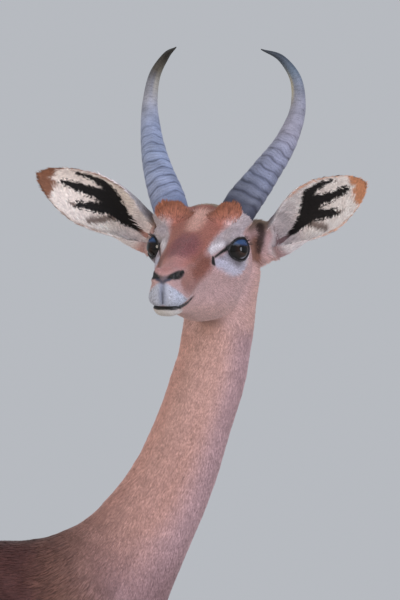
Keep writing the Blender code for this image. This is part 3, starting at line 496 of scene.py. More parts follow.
def swelledNode(name):  # a CAD node's points and faces, pushed outwards a little
    edit = bmesh.new()
    edit.from_mesh(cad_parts[name].data)
    bmesh.ops.remove_doubles(edit, verts=edit.verts, dist=1e-6)
    edit.normal_update()
    points = np.array([v.co + v.normal * skinPlan["grown"] for v in edit.verts])
    faces = [[v.index for v in f.verts] for f in edit.faces]
    edit.free()
    return points, faces


fleshNodes = ["torso", "neck"] + [
    f"{end}_{name}_{part}_leg" for end in ("fore", "hind") for _, name in bothSides
    for part in ("upper", "lower")]

tailRows = curveThrough([[x, 0.0, z, radius] for x, z, radius in skinPlan["tail"]], 40)
tailPoints, tailFaces = tube(tailRows, 24, up=(0.0, 1.0, 0.0))
bodyShells = [swelledNode(name) for name in fleshNodes] + [(tailPoints + bodyShift, tailFaces)]
body = fused("body", bodyShells, skinPlan["bodyVoxel"])

headShells = [headTube(head["face"]), headTube(head["jaw"]), neckStub()]
for side, _ in bothSides:
    eyeAt = (side * eyeSpacing, -eye["behind"], 0.0)
    headShells.append(ball(eyeAt, (eye["radius"] + head["lidThickness"],) * 3))
    for form in ("brow", "browPad", "nostrilWing"):
        middle, radii = head[form]
        headShells.append(ball(onSide(middle, side), radii))
    pedicle = np.array([[side * a, f, u, radius] for a, f, u, radius in head["pedicle"]])
    headShells.append(tube(pedicle, 40, up=(0.0, 1.0, 0.0)))
    headShells.append(ball(onSide(ear["base"][0], side), ear["base"][1]))
    headShells.append(earShell(side))
headBody = fused("head", [(toWorld(points), faces) for points, faces in headShells], head["voxel"])


def cutAt(edit, height, keepAbove):
    geometry = list(edit.verts) + list(edit.edges) + list(edit.faces)
    bmesh.ops.bisect_plane(edit, geom=geometry, plane_co=(0, 0, height), plane_no=(0, 0, 1),
                           clear_outer=not keepAbove, clear_inner=keepAbove)
    mesh = bpy.data.meshes.new("half")
    edit.to_mesh(mesh)
    edit.free()
    return mesh


seam = skinPlan["seamHeight"]
lowerHalf = cutAt(body, seam - 0.004, keepAbove=False)
upperHalf = cutAt(headBody, seam, keepAbove=True)
edit = bmesh.new()
edit.from_mesh(lowerHalf)
edit.from_mesh(upperHalf)
bmesh.ops.bridge_loops(edit, edges=[e for e in edit.edges if e.is_boundary])
bmesh.ops.triangulate(edit, faces=[f for f in edit.faces if len(f.verts) > 4])
bmesh.ops.recalc_face_normals(edit, faces=edit.faces)
skinMesh = bpy.data.meshes.new("skin")
edit.to_mesh(skinMesh)
edit.free()
skinMesh.shade_smooth()
skin = bpy.data.objects.new("skin", skinMesh)
scene.collection.objects.link(skin)
print("skin fused:", len(skinMesh.vertices), "points")


def readVectors(data, name):
    values = np.empty(len(data) * 3, np.float32)
    data.foreach_get(name, values)
    return values.reshape(-1, 3).astype(float)


def normalsNow(points):
    skinMesh.vertices.foreach_set("co", points.astype(np.float32).ravel())
    skinMesh.update()
    return readVectors(skinMesh.vertex_normals, "vector")


edgeEnds = np.empty(len(skinMesh.edges) * 2, np.int32)
skinMesh.edges.foreach_get("vertices", edgeEnds)
edgeEnds = edgeEnds.reshape(-1, 2)
degree = np.maximum(np.bincount(edgeEnds.ravel(), minlength=len(skinMesh.vertices)), 1)


def neighbourMean(values):
    one, two = edgeEnds.T
    size = len(values)
    total = np.stack([np.bincount(one, values[two, k], size) + np.bincount(two, values[one, k], size)
                      for k in range(values.shape[1])], axis=1)
    return total / degree[:, None]


def relaxed(points, rounds, share):  # smooths without shrinking: one step in, one step out
    for _ in range(rounds):
        points = points + (neighbourMean(points) - points) * share * 0.50
        points = points - (neighbourMean(points) - points) * share * 0.53
    return points


def melted(points, rounds, share):  # plain smoothing, which fills folds and rounds off humps
    for _ in range(rounds):
        points = points + (neighbourMean(points) - points) * share * 0.6
    return points


skinPoints = readVectors(skinMesh.vertices, "co")
bodyShare = ramp(skinPoints[:, 2], seam + 0.020, seam - 0.004)[:, None]
skinPoints = relaxed(skinPoints, skinPlan["bodyRounds"], bodyShare)
skinPoints = relaxed(skinPoints, skinPlan["headRounds"], 1 - bodyShare * 0.5)
headShare = 1 - bodyShare[:, 0]
earShare = np.zeros(len(skinPoints))
for side, _ in bothSides:
    s, a, d = earPlaces(skinPoints, side).T
    earShare = np.maximum(earShare, ramp(s, 0.004, 0.018) * (abs(d) < 0.045) * (abs(a) < 0.05))
a, f, u = (toHead(skinPoints) * 1000).T
face = headShare * (1 - earShare)
eyeGap = np.linalg.norm(np.stack([abs(a) - eyeSpacing * 1000, f + 8, u], axis=1), axis=1)
clear = ramp(eyeGap, 19, 25)  # leaves the lids alone
jowl = ramp(f, 92, 70) * ramp(u, -26, -40) * ramp(u, -88, -76) * clear
hornRoot = ramp(u, 8, 20) * ramp(f, 14, 2) * ramp(f, -76, -60) * clear
nose = ramp(f, 92, 104) * ramp(u, -52, -46)
belt = ramp(abs(skinPoints[:, 2] - seam), 0.030, 0.010)
belt = belt * np.where(skinPoints[:, 2] < seam - 0.002, 0.10, 1.0)  # the points below it lie further apart
skinPoints = melted(skinPoints, 70, (face * jowl)[:, None])
jawFold = ramp(f, 30, 0) * ramp(u, -40, -54) * ramp(u, -104, -88) * ramp(a, 4, 16)
skinPoints = melted(skinPoints, 110, (face * jawFold)[:, None])
skinPoints = melted(skinPoints, 34, (face * hornRoot)[:, None])
browFoot = ramp(abs(u - 22), 12, 5) * ramp(f, -24, -14) * ramp(f, 24, 14) * ramp(a, 48, 40) * clear
skinPoints = melted(skinPoints, 40, (face * browFoot)[:, None])
skinPoints = melted(skinPoints, 10, (face * nose)[:, None])
skinPoints = melted(skinPoints, 8, (face * clear)[:, None])
skinPoints = melted(skinPoints, 80, belt[:, None])

depth = (skinPlan["coatDepthBody"] + skinPlan["grown"]) * (1 - headShare)
depth += skinPlan["coatDepthHead"] * headShare
depth = depth * (1 - earShare) + skinPlan["coatDepthEar"] * earShare
skinPoints = skinPoints - normalsNow(skinPoints) * depth[:, None]
skinNormals = normalsNow(skinPoints)
print("skin set inside the solids by the coat's depth")


def softLine(points, line):  # 1 on the line, fading out past its half width
    line = np.array(line, float)
    reach = line[:, -1].max() * 2.6
    low, high = line[:, :-1].min(axis=0) - reach, line[:, :-1].max(axis=0) + reach
    near = np.flatnonzero(((points > low) & (points < high)).all(axis=1))
    best = np.zeros(len(near))
    for a, b in zip(line[:-1], line[1:]):
        step = b[:-1] - a[:-1]
        along = np.clip((points[near] - a[:-1]) @ step / max(step @ step, 1e-12), 0, 1)
        gap = np.linalg.norm(points[near] - a[:-1] - along[:, None] * step, axis=1)
        best = np.maximum(best, np.exp(-(gap / (a[-1] + along * (b[-1] - a[-1]))) ** 2))
    share = np.zeros(len(points))
    share[near] = best
    return share


# in millimetres in the head's frame: height, then places (aside, forward, up, half width)
headCarving = {
    "nose bridge": (0.8, [(0, 105, -12, 5), (0, 80, -4, 6), (0, 55, 6, 7)]),
    "cheek hollow": (-1.6, [(26, 70, -40, 9), (34, 40, -42, 12), (42, 12, -40, 11)]),
    "cheek bone": (1.6, [(30, 52, -22, 5), (40, 25, -24, 6), (49, -5, -23, 6), (52, -30, -18, 6)]),
    "tear pit": (-1.7, [(27, 34, -12, 5), (25, 44, -16, 4)]),
    "brow": (1.3, [(33, 17, 4, 5), (41, 2, 17, 5), (47, -14, 19, 5)]),
    "temple": (-1.4, [(50, -28, 6, 8), (50, -38, 14, 8)]),
    "jaw edge": (1.5, [(20, 66, -70, 5), (31, 25, -74, 6), (39, -15, -76, 7), (40, -38, -68, 8)]),
    "throat": (-2.5, [(14, 20, -78, 9), (20, -10, -82, 10)]),
    "upper lip": (0.9, [(9, 131, -52, 6), (15, 122, -52, 6)]),
    "lip edge": (0.5, [(5, 137, -58.5, 1.6), (13, 130, -59.5, 1.6), (18, 117, -58, 1.6),
                       (20, 104, -53.5, 1.6)]),
    "philtrum": (-1.1, [(0, 139, -36, 1.6), (0, 139, -46, 1.3), (0, 137, -58, 1.3)]),
    "nostril": (-2.6, [(3.5, 137, -31.5, 1.3), (6.5, 135, -30.3, 2.1), (9.5, 132.5, -29.5, 2.6),
                       (12.5, 126, -28.6, 3.0), (13.6, 116, -27, 2.5), (13.8, 106, -25.5, 1.3)]),
    "nostril rim": (1.1, [(5.0, 133, -25.5, 2.0), (9, 126, -23.0, 2.2), (12, 115, -21.5, 2.2),
                          (14, 103, -21.5, 2.0)]),
    "nostril wing": (1.2, [(9, 135, -35.5, 2.2), (14, 129, -34, 2.6), (17.5, 119, -32.0, 2.4)]),
    "nostril fold": (-0.8, [(17.5, 128, -35, 2.4), (19.5, 118, -33, 3.0)]),
    "chin": (0.8, [(0, 126, -68, 6), (8, 121, -68, 5)]),
}
headPlaces = foldedHead(skinPoints)
lift = np.zeros(len(skinPoints))
for height, line in headCarving.values():
    lift += height * softLine(headPlaces, line)
lipLine = [(80, -43, 0.7), (76.5, -47.5, 0.9), (80, -52, 1.1), (93, -56, 1.2), (107, -58.3, 1.2),
           (121, -60.5, 1.2), (129, -62.5, 1.4), (145, -62.5, 1.4)]
lift -= 1.6 * softLine(headPlaces[:, 1:], lipLine) * face
skinPoints = skinPoints + skinNormals * (lift / 1000)[:, None]
skinNormals = normalsNow(skinPoints)

bodyCarving = {  # in millimetres: height, then places on the flank (x, z, half width) in metres
    "blade ridge": (2.6, [(0.148, 0.905, 0.013), (0.182, 0.850, 0.015), (0.218, 0.785, 0.020)]),
    "blade rear edge": (-2.4, [(0.098, 0.905, 0.016), (0.130, 0.830, 0.018), (0.160, 0.775, 0.014)]),
    "blade front edge": (-2.0, [(0.205, 0.905, 0.012), (0.238, 0.850, 0.013)]),
    "shoulder point": (3.4, [(0.262, 0.785, 0.024), (0.245, 0.750, 0.024)]),
    "upper arm": (2.4, [(0.105, 0.755, 0.020), (0.150, 0.705, 0.026), (0.170, 0.670, 0.024)]),
    "behind the elbow": (-3.0, [(0.088, 0.745, 0.014), (0.112, 0.690, 0.015), (0.135, 0.640, 0.014)]),
    "elbow": (2.2, [(0.146, 0.640, 0.012), (0.152, 0.622, 0.010)]),
    "first rib": (0.9, [(0.050, 0.880, 0.009), (0.048, 0.790, 0.009), (0.072, 0.700, 0.009)]),
    "second rib": (1.0, [(0.012, 0.885, 0.009), (0.004, 0.790, 0.009), (0.030, 0.700, 0.009)]),
    "third rib": (1.1, [(-0.026, 0.890, 0.009), (-0.040, 0.795, 0.009), (-0.016, 0.710, 0.009)]),
    "fourth rib": (1.1, [(-0.064, 0.890, 0.009), (-0.084, 0.800, 0.009), (-0.064, 0.722, 0.009)]),
    "fifth rib": (1.0, [(-0.102, 0.890, 0.009), (-0.126, 0.808, 0.009), (-0.112, 0.745, 0.009)]),
    "last rib": (0.9, [(-0.138, 0.890, 0.009), (-0.160, 0.825, 0.009)]),
    "flank hollow": (-5.0, [(-0.205, 0.868, 0.030), (-0.215, 0.810, 0.034), (-0.230, 0.760, 0.026)]),
    "loin edge": (1.6, [(-0.130, 0.925, 0.012), (-0.220, 0.925, 0.012)]),
    "hip bone": (4.2, [(-0.240, 0.922, 0.014), (-0.262, 0.905, 0.017)]),
    "croup": (-1.6, [(-0.300, 0.925, 0.018), (-0.370, 0.905, 0.018)]),
    "pin bone": (2.6, [(-0.430, 0.885, 0.016), (-0.440, 0.868, 0.013)]),
    "thigh groove": (-2.6, [(-0.392, 0.870, 0.010), (-0.398, 0.780, 0.010), (-0.392, 0.690, 0.010),
                            (-0.385, 0.620, 0.008)]),
    "thigh front": (2.2, [(-0.290, 0.830, 0.030), (-0.275, 0.760, 0.026)]),
    "stifle": (3.2, [(-0.262, 0.700, 0.016), (-0.270, 0.672, 0.014)]),
    "flank fold": (2.4, [(-0.238, 0.742, 0.008), (-0.252, 0.715, 0.010)]),
    "gaskin": (1.6, [(-0.345, 0.600, 0.018), (-0.385, 0.530, 0.014)]),
    "heel string hollow": (-3.6, [(-0.396, 0.560, 0.009), (-0.428, 0.490, 0.008), (-0.450, 0.440, 0.006)]),
    "hock point": (3.2, [(-0.476, 0.412, 0.008), (-0.478, 0.396, 0.009)]),
    "hock joint": (1.2, [(-0.442, 0.378, 0.009)] * 2),
    "hind tendon groove": (-1.6, [(-0.456, 0.315, 0.0035), (-0.448, 0.220, 0.003), (-0.441, 0.150, 0.003)]),
    "forearm muscle": (1.6, [(0.180, 0.580, 0.014), (0.188, 0.510, 0.011)]),
    "forearm groove": (-1.8, [(0.196, 0.585, 0.006), (0.200, 0.500, 0.005), (0.203, 0.420, 0.004)]),
    "knee joint": (1.4, [(0.214, 0.362, 0.008), (0.214, 0.338, 0.008)]),
    "fore tendon groove": (-1.6, [(0.200, 0.295, 0.0035), (0.198, 0.210, 0.003), (0.198, 0.150, 0.003)]),
    "neck groove": (-1.6, [(0.318, 0.905, 0.013), (0.352, 0.975, 0.011), (0.388, 1.060, 0.010),
                           (0.415, 1.130, 0.009)]),
    "neck muscle": (1.2, [(0.262, 0.930, 0.020), (0.308, 0.985, 0.015), (0.352, 1.060, 0.013),
                          (0.385, 1.130, 0.012)]),
}
plainPlaces = plainLegs(toBody(skinPoints))[:, (0, 2)]
flatSide = ramp(abs(skinNormals[:, 1]), 0.15, 0.60) * (1 - headShare)
lift = np.zeros(len(skinPoints))
for height, line in bodyCarving.values():
    lift += height * softLine(plainPlaces, line)
skinPoints = skinPoints + skinNormals * (lift * flatSide / 1000)[:, None]
skinNormals = normalsNow(skinPoints)


def eyeAxes(side):  # in the head's frame: its centre, its look, along the lids to the nose, and up
    look = unit(onSide(eye["look"], side))
    up = np.array([0.0, -0.10, 1.0])
    up = unit(up - look * (up @ look))
    return np.array([side * eyeSpacing, -eye["behind"], 0.0]), look, np.cross(up, look) * side, up


lidRows = np.array(eye["lids"]) - eye["lidMiddle"]
lidOrder = np.argsort(np.arctan2(lidRows[:, 1], lidRows[:, 0]))
lidRows = lidRows[lidOrder]
lidTurns = np.linspace(-math.pi, math.pi, 180, endpoint=False)
lidReaches = np.interp(lidTurns, np.arctan2(lidRows[:, 1], lidRows[:, 0]), np.hypot(*lidRows.T),
                       period=2 * math.pi)
for _ in range(12):
    lidReaches = (np.roll(lidReaches, 1) + lidReaches + np.roll(lidReaches, -1)) / 3


def lidReach(turn):  # from the middle of the opening to the lids' edge, that way round
    return np.interp(turn, lidTurns, lidReaches, period=2 * math.pi)


def lidShare(along, up):  # under 1 in the opening between the lids, over 1 outside
    along, up = along - eye["lidMiddle"][0], up - eye["lidMiddle"][1]
    return np.hypot(along, up) / lidReach(np.arctan2(up, along))


def eyePlaces(points, side):  # world points as (towards the nose, up, out) from the eye's centre
    centre, look, along, up = eyeAxes(side)
    return (toHead(points) - centre) @ np.array([along, up, look]).T


headPlaces = toHead(skinPoints)
for side, _ in bothSides:
    centre, look, along, up = eyeAxes(side)
    local = headPlaces - centre
    x, y, z = local @ along, local @ up, local @ look
    reach = np.linalg.norm(local, axis=1)
    near = (reach < 0.032) & (z > 0.0005)
    share = lidShare(x, y)
    sunk = eye["radius"] - 0.0020 - 0.0016 * (1 - np.clip(share, 0, 1))
    factor = np.where(near & (share < 1.0), sunk / np.maximum(reach, 1e-6), 1.0)
    lidTop = eye["radius"] + eye["lidStands"]
    drawn = np.minimum(lidTop / np.maximum(reach, 1e-6), 1.0) - 1
    factor = np.where(near & (share >= 1.0), 1 + drawn * ramp(share, 1.55, 1.10) * 0.92, factor)
    crease = np.exp(-((share - eye["creaseAt"]) / 0.075) ** 2) * ramp(y, 0.000, 0.006) * near
    factor -= crease * eye["creaseDepth"] / np.maximum(reach, 0.010)
    headPlaces = centre + local * factor[:, None]
skinPoints = toWorld(headPlaces)
skinNormals = normalsNow(skinPoints)
print("face and body carved")


# markings: one colour for every place, for the skin and for the hair on it alike
coat = {
    "saddle": "#482926", "flank": "#b58b73", "belly": "#ece5dc", "leg": "#b08a74",
    "nape": "#d9a69a", "chest": "#97787a", "neck": "#b68e85",
    # painted shadow under jaw: shade on the throat below the jaw
    "neckTop": "#c29b92", "painted shadow under jaw": "#84604e", "throat": "#b8979a", "jaw": "#bc9892",
    "cheek": "#b79694", "crown": "#a88d74", "brush": "#33221c", "tail": "#171212",
}
faceMarks = {
    # colour, softness in mm, strength, then places on either side (aside, forward, up, half width)
    "crown": ("#ad9c86", 7, 0.8, [(0, -26, 42, 8), (0, -48, 47, 14), (0, -72, 42, 16)]),
    "forehead": ("#a16557", 8, 1.0, [
        (0, 92, -12, 16), (0, 74, -6, 21), (0, 56, 3, 24), (0, 36, 12, 24), (0, 14, 24, 27),
        (0, -8, 33, 30)]),
    "forehead light": ("#d8a899", 14, 0.90, [(1, 22, 22, 5), (0, 2, 31, 8), (0, -16, 39, 9)]),
    "nose": ("#b8807a", 16, 0.95, [(0, 82, -8, 12), (0, 96, -13, 13), (0, 108, -17, 14), (0, 124, -23, 12)]),
    "bridge": ("#824a4c", 15, 0.92, [(5, 36, 14, 5), (6, 50, 8, 12), (5, 64, 1, 14), (2, 78, -5, 10)]),
    "red of muzzle": ("#8d6058", 12, 0.85, [(20, 76, -32, 7), (18, 98, -40, 8), (16, 114, -40, 6)]),
    "stripe": ("#aa9d9f", 4, 1.0, [(53, -20, 34, 8), (47, -10, 28, 9), (41, 0, 20, 9), (35, 10, 13, 8),
                                   (30, 20, 6, 6.5), (27, 32, 0, 5.5), (25, 41, -3.5, 3.5)]),
    "stripe end": ("#dcd5d8", 6, 0.8, [(40, 4, 12, 1.5), (33, 16, 5, 2.5), (27, 30, 1, 3.4),
                                       (25, 39, -3, 2.8)]),
    "flank of nose": ("#95675c", 9, 0.9, [(18, 88, -24, 8), (19, 104, -31, 7), (18, 118, -35, 5)]),
    "side of nose": ("#7d4b3e", 13, 1.0, [(26, 49, -12, 5), (24, 57, -15, 10), (22, 68, -21, 11),
                                         (19, 80, -26, 8)]),
    "under eye": ("#b3b0be", 8, 1.0, [(32, 34, -15, 6), (37, 21, -16, 9), (43, 5, -18, 10), (47, -8, -18, 9),
                                      (50, -20, -12, 5)]),
    # painted shadow below the eye's front corner
    "painted shadow under eye": ("#7b7379", 5, 0.75, [(33, 28, -9, 3.0), (38, 17, -11, 3.0), (43, 6, -13, 1.5)]),
    "behind eye": ("#c6b6b6", 6, 0.8, [(50, -26, -13, 4), (48, -32, -5, 3.5), (47, -38, 3, 3)]),
    "foot of ear": ("#ddd2d2", 8, 0.9, [(66, -70, 30, 7), (68, -72, 14, 9), (66, -66, 3, 7)]),
    "temple": ("#7a5341", 6, 0.9, [(51, -42, 24, 6), (51, -50, 10, 6), (50, -57, -6, 6)]),
    "dark before ear": ("#37241f", 5, 0.95, [(51, -46, 37, 4), (53, -58, 29, 5), (56, -58, 18, 5),
                                            (55, -55, 8, 4.5), (54, -55, -1, 2.5)]),
    "lips": ("#b9bdcb", 4, 1.0, [(3, 139, -44, 7), (8, 135, -52, 11), (13, 128, -54.5, 9), (17, 113, -56, 5),
                                 (18, 97, -55, 3), (18.5, 84, -50, 1.6)]),
    "lip middle": ("#6d7388", 6, 0.75, [(0, 139, -38, 3.5), (0, 139, -48, 4), (0, 137, -58, 3.5)]),
    "chin": ("#c6c1bd", 6, 1.0, [(0, 125, -68, 8), (9, 119, -68, 7), (11, 104, -67, 4)]),
    "nose leather": ("#59535a", 3.5, 0.85, [(0, 138, -32, 2.5), (6, 136, -31, 3.0), (10, 131, -29, 3.8),
                                            (13, 121, -27, 3.8), (14, 108, -26, 2.2)]),
}
wetMarks = {
    "deep in nostril": ("#040304", 2.0, 1.0, [
        (5.5, 133, -32.5, 2.2), (8, 131.5, -32, 3.0), (10, 127, -31, 3.4), (11, 120, -29.3, 3.4),
        (11.4, 112, -27, 3.1), (12, 104.5, -25, 2.2)]),
    "nostril": ("#040304", 2.0, 1.0, [
        (5.8, 136.2, -31, 2.0), (8.5, 135.2, -30, 3.1), (11, 133, -29.5, 3.9), (13, 128, -28.3, 4.5),
        (13.6, 121, -27.4, 4.0), (13.4, 112, -26, 3.3), (13.4, 104, -24.3, 1.9)]),
    "between nostrils": ("#2b2f42", 2.0, 0.9, [(7, 136.6, -32.8, 1.4), (3, 138.5, -34.2, 1.6),
                                              (0, 139.5, -36, 1.8)]),
    "philtrum": ("#20222f", 0.8, 0.95, [(0, 140, -35, 1.1), (0, 140, -42, 1.1), (0, 138.5, -50, 1.0),
                                       (0, 136, -58, 1.0)]),
    "mouth": ("#0b0909", 0.9, 1.0, [
        (0, 129.5, -62.5, 2.8), (5, 128.5, -62.5, 2.8), (9, 125.5, -62, 2.6), (13.5, 117, -61, 2.2),
        (14, 96, -58, 1.6), (15, 86, -56, 1.3), (15.7, 78, -52.5, 1.1), (17.5, 72, -49, 0.7)]),
    "tear line": ("#0c0a0b", 1.6, 1.0, [(37.5, 8, 3, 2.8), (36, 12, 1, 2.5), (34, 21, -2, 1.8),
                                       (32, 29, -5, 1.3), (30, 36, -8, 1.4)]),
    "tear gland": ("#07070a", 1.0, 1.0, [(28.5, 39.5, -9.5, 2.4), (29.5, 41.5, -14.5, 3.2)]),
}


def mottle(points, size, seed):  # a smooth field of about -1 to 1, in patches of that size
    chance = np.random.default_rng(seed)
    total = np.zeros(len(points))
    for _ in range(7):
        wave = unit(chance.normal(size=3)) * 2 * math.pi / (size * chance.uniform(0.7, 1.6))
        total += np.sin(points @ wave + chance.uniform(0, 7))
    return total / 2.6


def trunkShare(x, z):  # 0 on the belly line, 1 on the back line
    low = np.interp(x, *np.array(bellyLine).T)
    high = np.interp(x, *np.array(backLine).T)
    return (z - low) / np.maximum(high - low, 0.05)


def neckShare(x, z):  # 0 on the nape, 1 on the throat
    nape = np.interp(z, *np.array(napeLine).T)
    throat = np.interp(z, *np.array(throatLine).T)
    return (x - nape) / (throat - nape)


def earInside(points, normals, side):  # 1 where the skin faces into the ear's hollow
    _, _, across, facing, length = earAxes(side)
    s, a, d = earPlaces(points, side).T
    reach, above, below, wrap = np.array(ear["spans"]).T
    wrap = np.radians(wrap)
    hollow = ear["depth"] * (above + below) / 2 / np.where(wrap > math.pi / 2, 1.0, np.sin(wrap))
    d = d - np.interp(s / length, reach, np.cos(wrap) * hollow)
    facesOut = a * (normals @ (across @ headAxes)) + d * (normals @ (facing @ headAxes))
    return (facesOut < 0).astype(float)


def earBlack(s, a):  # distance in mm to the dark brushes inside the ear, black and brown
    places = np.stack([s, a], axis=1)
    black = np.min([lineDistance(places, line) for line in earMarks["black"]], axis=0)
    brown = np.min([lineDistance(places, line) for line in earMarks["brown"]], axis=0)
    return black, brown


def earColour(points, normals, side):
    _, _, across, facing, length = earAxes(side)
    s, a, _ = earPlaces(points, side).T * 1000
    reach, above, below, _ = np.array(ear["spans"]).T
    at = s / (length * 1000)
    half = np.where(a > 0, np.interp(at, reach, above), np.interp(at, reach, below)) * 1000
    inside = earInside(points, normals, side)
    black, brown = earBlack(s, a)
    black = np.where(s < 13, 9.0, black)
    hollow = mix(linear(earMarks["flap"]), linear(earMarks["white"][side]), ramp(s, 22, 50))
    hollow = mix(hollow, linear(earMarks["shade"]), 0.35 * ramp(mottle(points, 0.007, 5), 0.1, 0.9))
    hollow = mix(hollow, linear(earMarks["brownest"]), 0.85 * ramp(brown, 0.8, -1.0))
    hollow = mix(hollow, linear(earMarks["dark"]), ramp(black, 0.6, -0.5))
    edge = ramp(abs(a) / half, 0.90, 0.98) * ramp(s, 30, 55)
    tip = ramp(s + np.where(a < 0, 7, 0) + 2 * mottle(points, 0.006, 6), 126, 131)
    # the rust edge and tip, with the left ear painted lit and the right ear painted shaded
    hollow = mix(hollow, linear(earMarks["rim"][side]), np.maximum(edge * 0.85, tip))
    back = mix(linear(earMarks["back"]), linear(earMarks["rim"][side]), ramp(s, 95, 135))
    fore, rise = normals @ (facing @ headAxes), normals @ (across @ headAxes)
    back = mix(back, linear(earMarks["flap"]), ramp(fore, -0.35, 0.15) * ramp(s, 120, 70))
    back = mix(back, linear(earMarks["baseTop"]), ramp(s, 34, 12) * ramp(rise, 0.45, 0.85))
    return mix(back, hollow, inside), inside


def earShareAt(points):  # 1 on an ear, for each side
    shares = []
    for side, _ in bothSides:
        s, a, d = earPlaces(points, side).T
        onIt = ramp(s, 0.010, 0.022) * (d < 0.014) * (d > -0.045) * (abs(a) < 0.05)
        shares.append(onIt * (toHead(points)[:, 0] * side > 0.03))
    return shares


def marksOver(colour, places, marks, onFace):
    for code, soft, strength, line in marks.values():
        share = strength * ramp(lineDistance(places, line), soft / 2, -soft / 2) * onFace
        colour = mix(colour, linear(code), share)
    return colour


def bareDistance(points):  # in mm to the bare skin of the nostrils, the mouth's edge and the tear line
    places = foldedHead(points)
    return np.min([lineDistance(places, line) for _, _, _, line in wetMarks.values()], axis=0)


def wetShare(points):  # 1 where the face is bare
    return ramp(bareDistance(points), 0.7, -0.5)


def coatColour(points, normals):
    tone = {name: linear(code) for name, code in coat.items()}
    x, y, z = toBody(points).T
    plainX = plainLegs(toBody(points))[:, 0]
    high = trunkShare(x, z) + 0.012 * mottle(points, 0.030, 3)
    colour = np.tile(tone["flank"], (len(points), 1))
    across = neckShare(x, z)
    neck = mix(tone["neck"], tone["neckTop"], ramp(z, 0.99, 1.13))
    neck = mix(tone["nape"], neck, ramp(across, -0.05, 0.28))
    neck = mix(neck, tone["throat"], ramp(across, 0.55, 0.95))
    neck = mix(neck, tone["chest"], ramp(z, 0.97, 0.89))
    colour = mix(colour, neck, ramp(x + 0.4 * (z - 0.95), 0.20, 0.30))
    front = x + 0.1 * (z - 0.93) + 0.005 * mottle(points, 0.025, 4)
    saddle = ramp(high, 0.58, 0.62) * ramp(front, 0.370, 0.205)
    colour = mix(colour, tone["saddle"], saddle * ramp(x, -0.475, -0.462))
    inward = -normals[:, 1] * np.sign(y)
    outerLimb = ramp(inward, -0.10, -0.55) * np.maximum(ramp(x, 0.075, 0.105), ramp(x, -0.225, -0.255))
    underside = ramp(high, 0.19, 0.13) * ramp(x, 0.26, 0.20) * (1 - outerLimb)
    colour = mix(colour, tone["belly"], underside)
    colour = mix(colour, tone["leg"], ramp(z, 0.66, 0.60))
    inner = ramp(inward, 0.15, 0.70) * ramp(abs(y), 0.004, 0.012)
    colour = mix(colour, tone["belly"], inner * ramp(z, 0.72, 0.64) * ramp(z, 0.42, 0.50))
    rump = ramp(x, -0.448, -0.462) * ramp(abs(y), 0.044, 0.032) * ramp(z, 0.900, 0.885) * ramp(z, 0.70, 0.74)
    colour = mix(colour, tone["belly"], rump)
    tail = ramp(x, -0.478, -0.484) * ramp(abs(y), 0.026, 0.020)
    colour = mix(colour, mix(tone["saddle"], tone["tail"], ramp(z, 0.86, 0.82)), tail)
    knee = ramp(np.hypot((plainX - 0.232) / 1.2, (z - 0.352) / 1.7), 0.020, 0.013)
    colour = mix(colour, tone["brush"], knee * ramp(normals[:, 0], 0.0, 0.5))
    places = foldedHead(points)
    a, f, u = places.T
    onHead = ramp(u, -96, -72) * ramp(np.hypot(a, (f - 20) * 0.6), 96, 84)
    face = mix(tone["cheek"], tone["jaw"], ramp(u, -44, -66))
    face = mix(face, tone["crown"], ramp(u, 14, 34) * ramp(f, -10, -36))
    face = mix(face, tone["neckTop"], ramp(f, -48, -76) * ramp(u, 8, -12))
    face = marksOver(face, places, faceMarks, 1.0)
    for side, _ in bothSides:
        along, up, out = eyePlaces(points, side).T
        share = lidShare(along, up) + 9 * (out < -0.004)
        lower = ramp(share, 2.1, 1.6) * ramp(up + 0.3 * along, 0.003, -0.003) * (out > 0.001)
        face = mix(face, linear(eye["lowerLid"]), 0.9 * lower)
        # painted shadow on the skin by the eye's front corner
        front = ramp(share, 1.9, 1.2) * ramp(along - 0.8 * up, 0.003, 0.012) * (out > 0.001)
        face = mix(face, linear(eye["paintedCornerShadow"]), 0.7 * front)
        behind = ramp(share, 1.42, 1.28) * ramp(along - 0.5 * up, -0.002, -0.010)
        face = mix(face, linear(eye["lidBehind"]), 0.8 * behind)
        face = mix(face, linear(eye["lidEdge"]), ramp(share, 1.17, 1.09))
    face = marksOver(face, places, wetMarks, 1.0)
    colour = mix(colour, face, onHead)
    # painted shadow on the throat under the jaw
    shadowUnderJaw = ramp(lineDistance(places, [(0, -42, -80, 5), (13, -40, -80, 4)]), 12, -5)
    colour = mix(colour, tone["painted shadow under jaw"], 0.75 * shadowUnderJaw)
    for (side, _), onEar in zip(bothSides, earShareAt(points)):
        mine = np.flatnonzero(onEar > 0)
        there, _ = earColour(points[mine], normals[mine], side)
        colour[mine] = mix(colour[mine], there, onEar[mine])
    return colour


# the coat is planted from here on
skinMesh.calc_loop_triangles()
triangles = np.empty(len(skinMesh.loop_triangles) * 3, np.int32)
skinMesh.loop_triangles.foreach_get("vertices", triangles)
triangles = triangles.reshape(-1, 3)
corners = skinPoints[triangles]
areas = np.linalg.norm(np.cross(corners[:, 1] - corners[:, 0], corners[:, 2] - corners[:, 0]), axis=1) / 2
centroids = corners.mean(axis=1)
centroidNormals = unit(skinNormals[triangles].mean(axis=1))


def rootsOn(weights, count, seed):  # spread evenly by area times weight
    chance = np.random.default_rng(seed)
    total = np.cumsum(areas * weights)
    at = (np.arange(count) + chance.random(count)) / count * total[-1]
    face = np.minimum(np.searchsorted(total, at), len(total) - 1)
    share = chance.dirichlet((1, 1, 1), count)[:, :, None]
    points = (skinPoints[triangles[face]] * share).sum(axis=1)
    normals = unit((skinNormals[triangles[face]] * share).sum(axis=1))
    return points, normals, chance


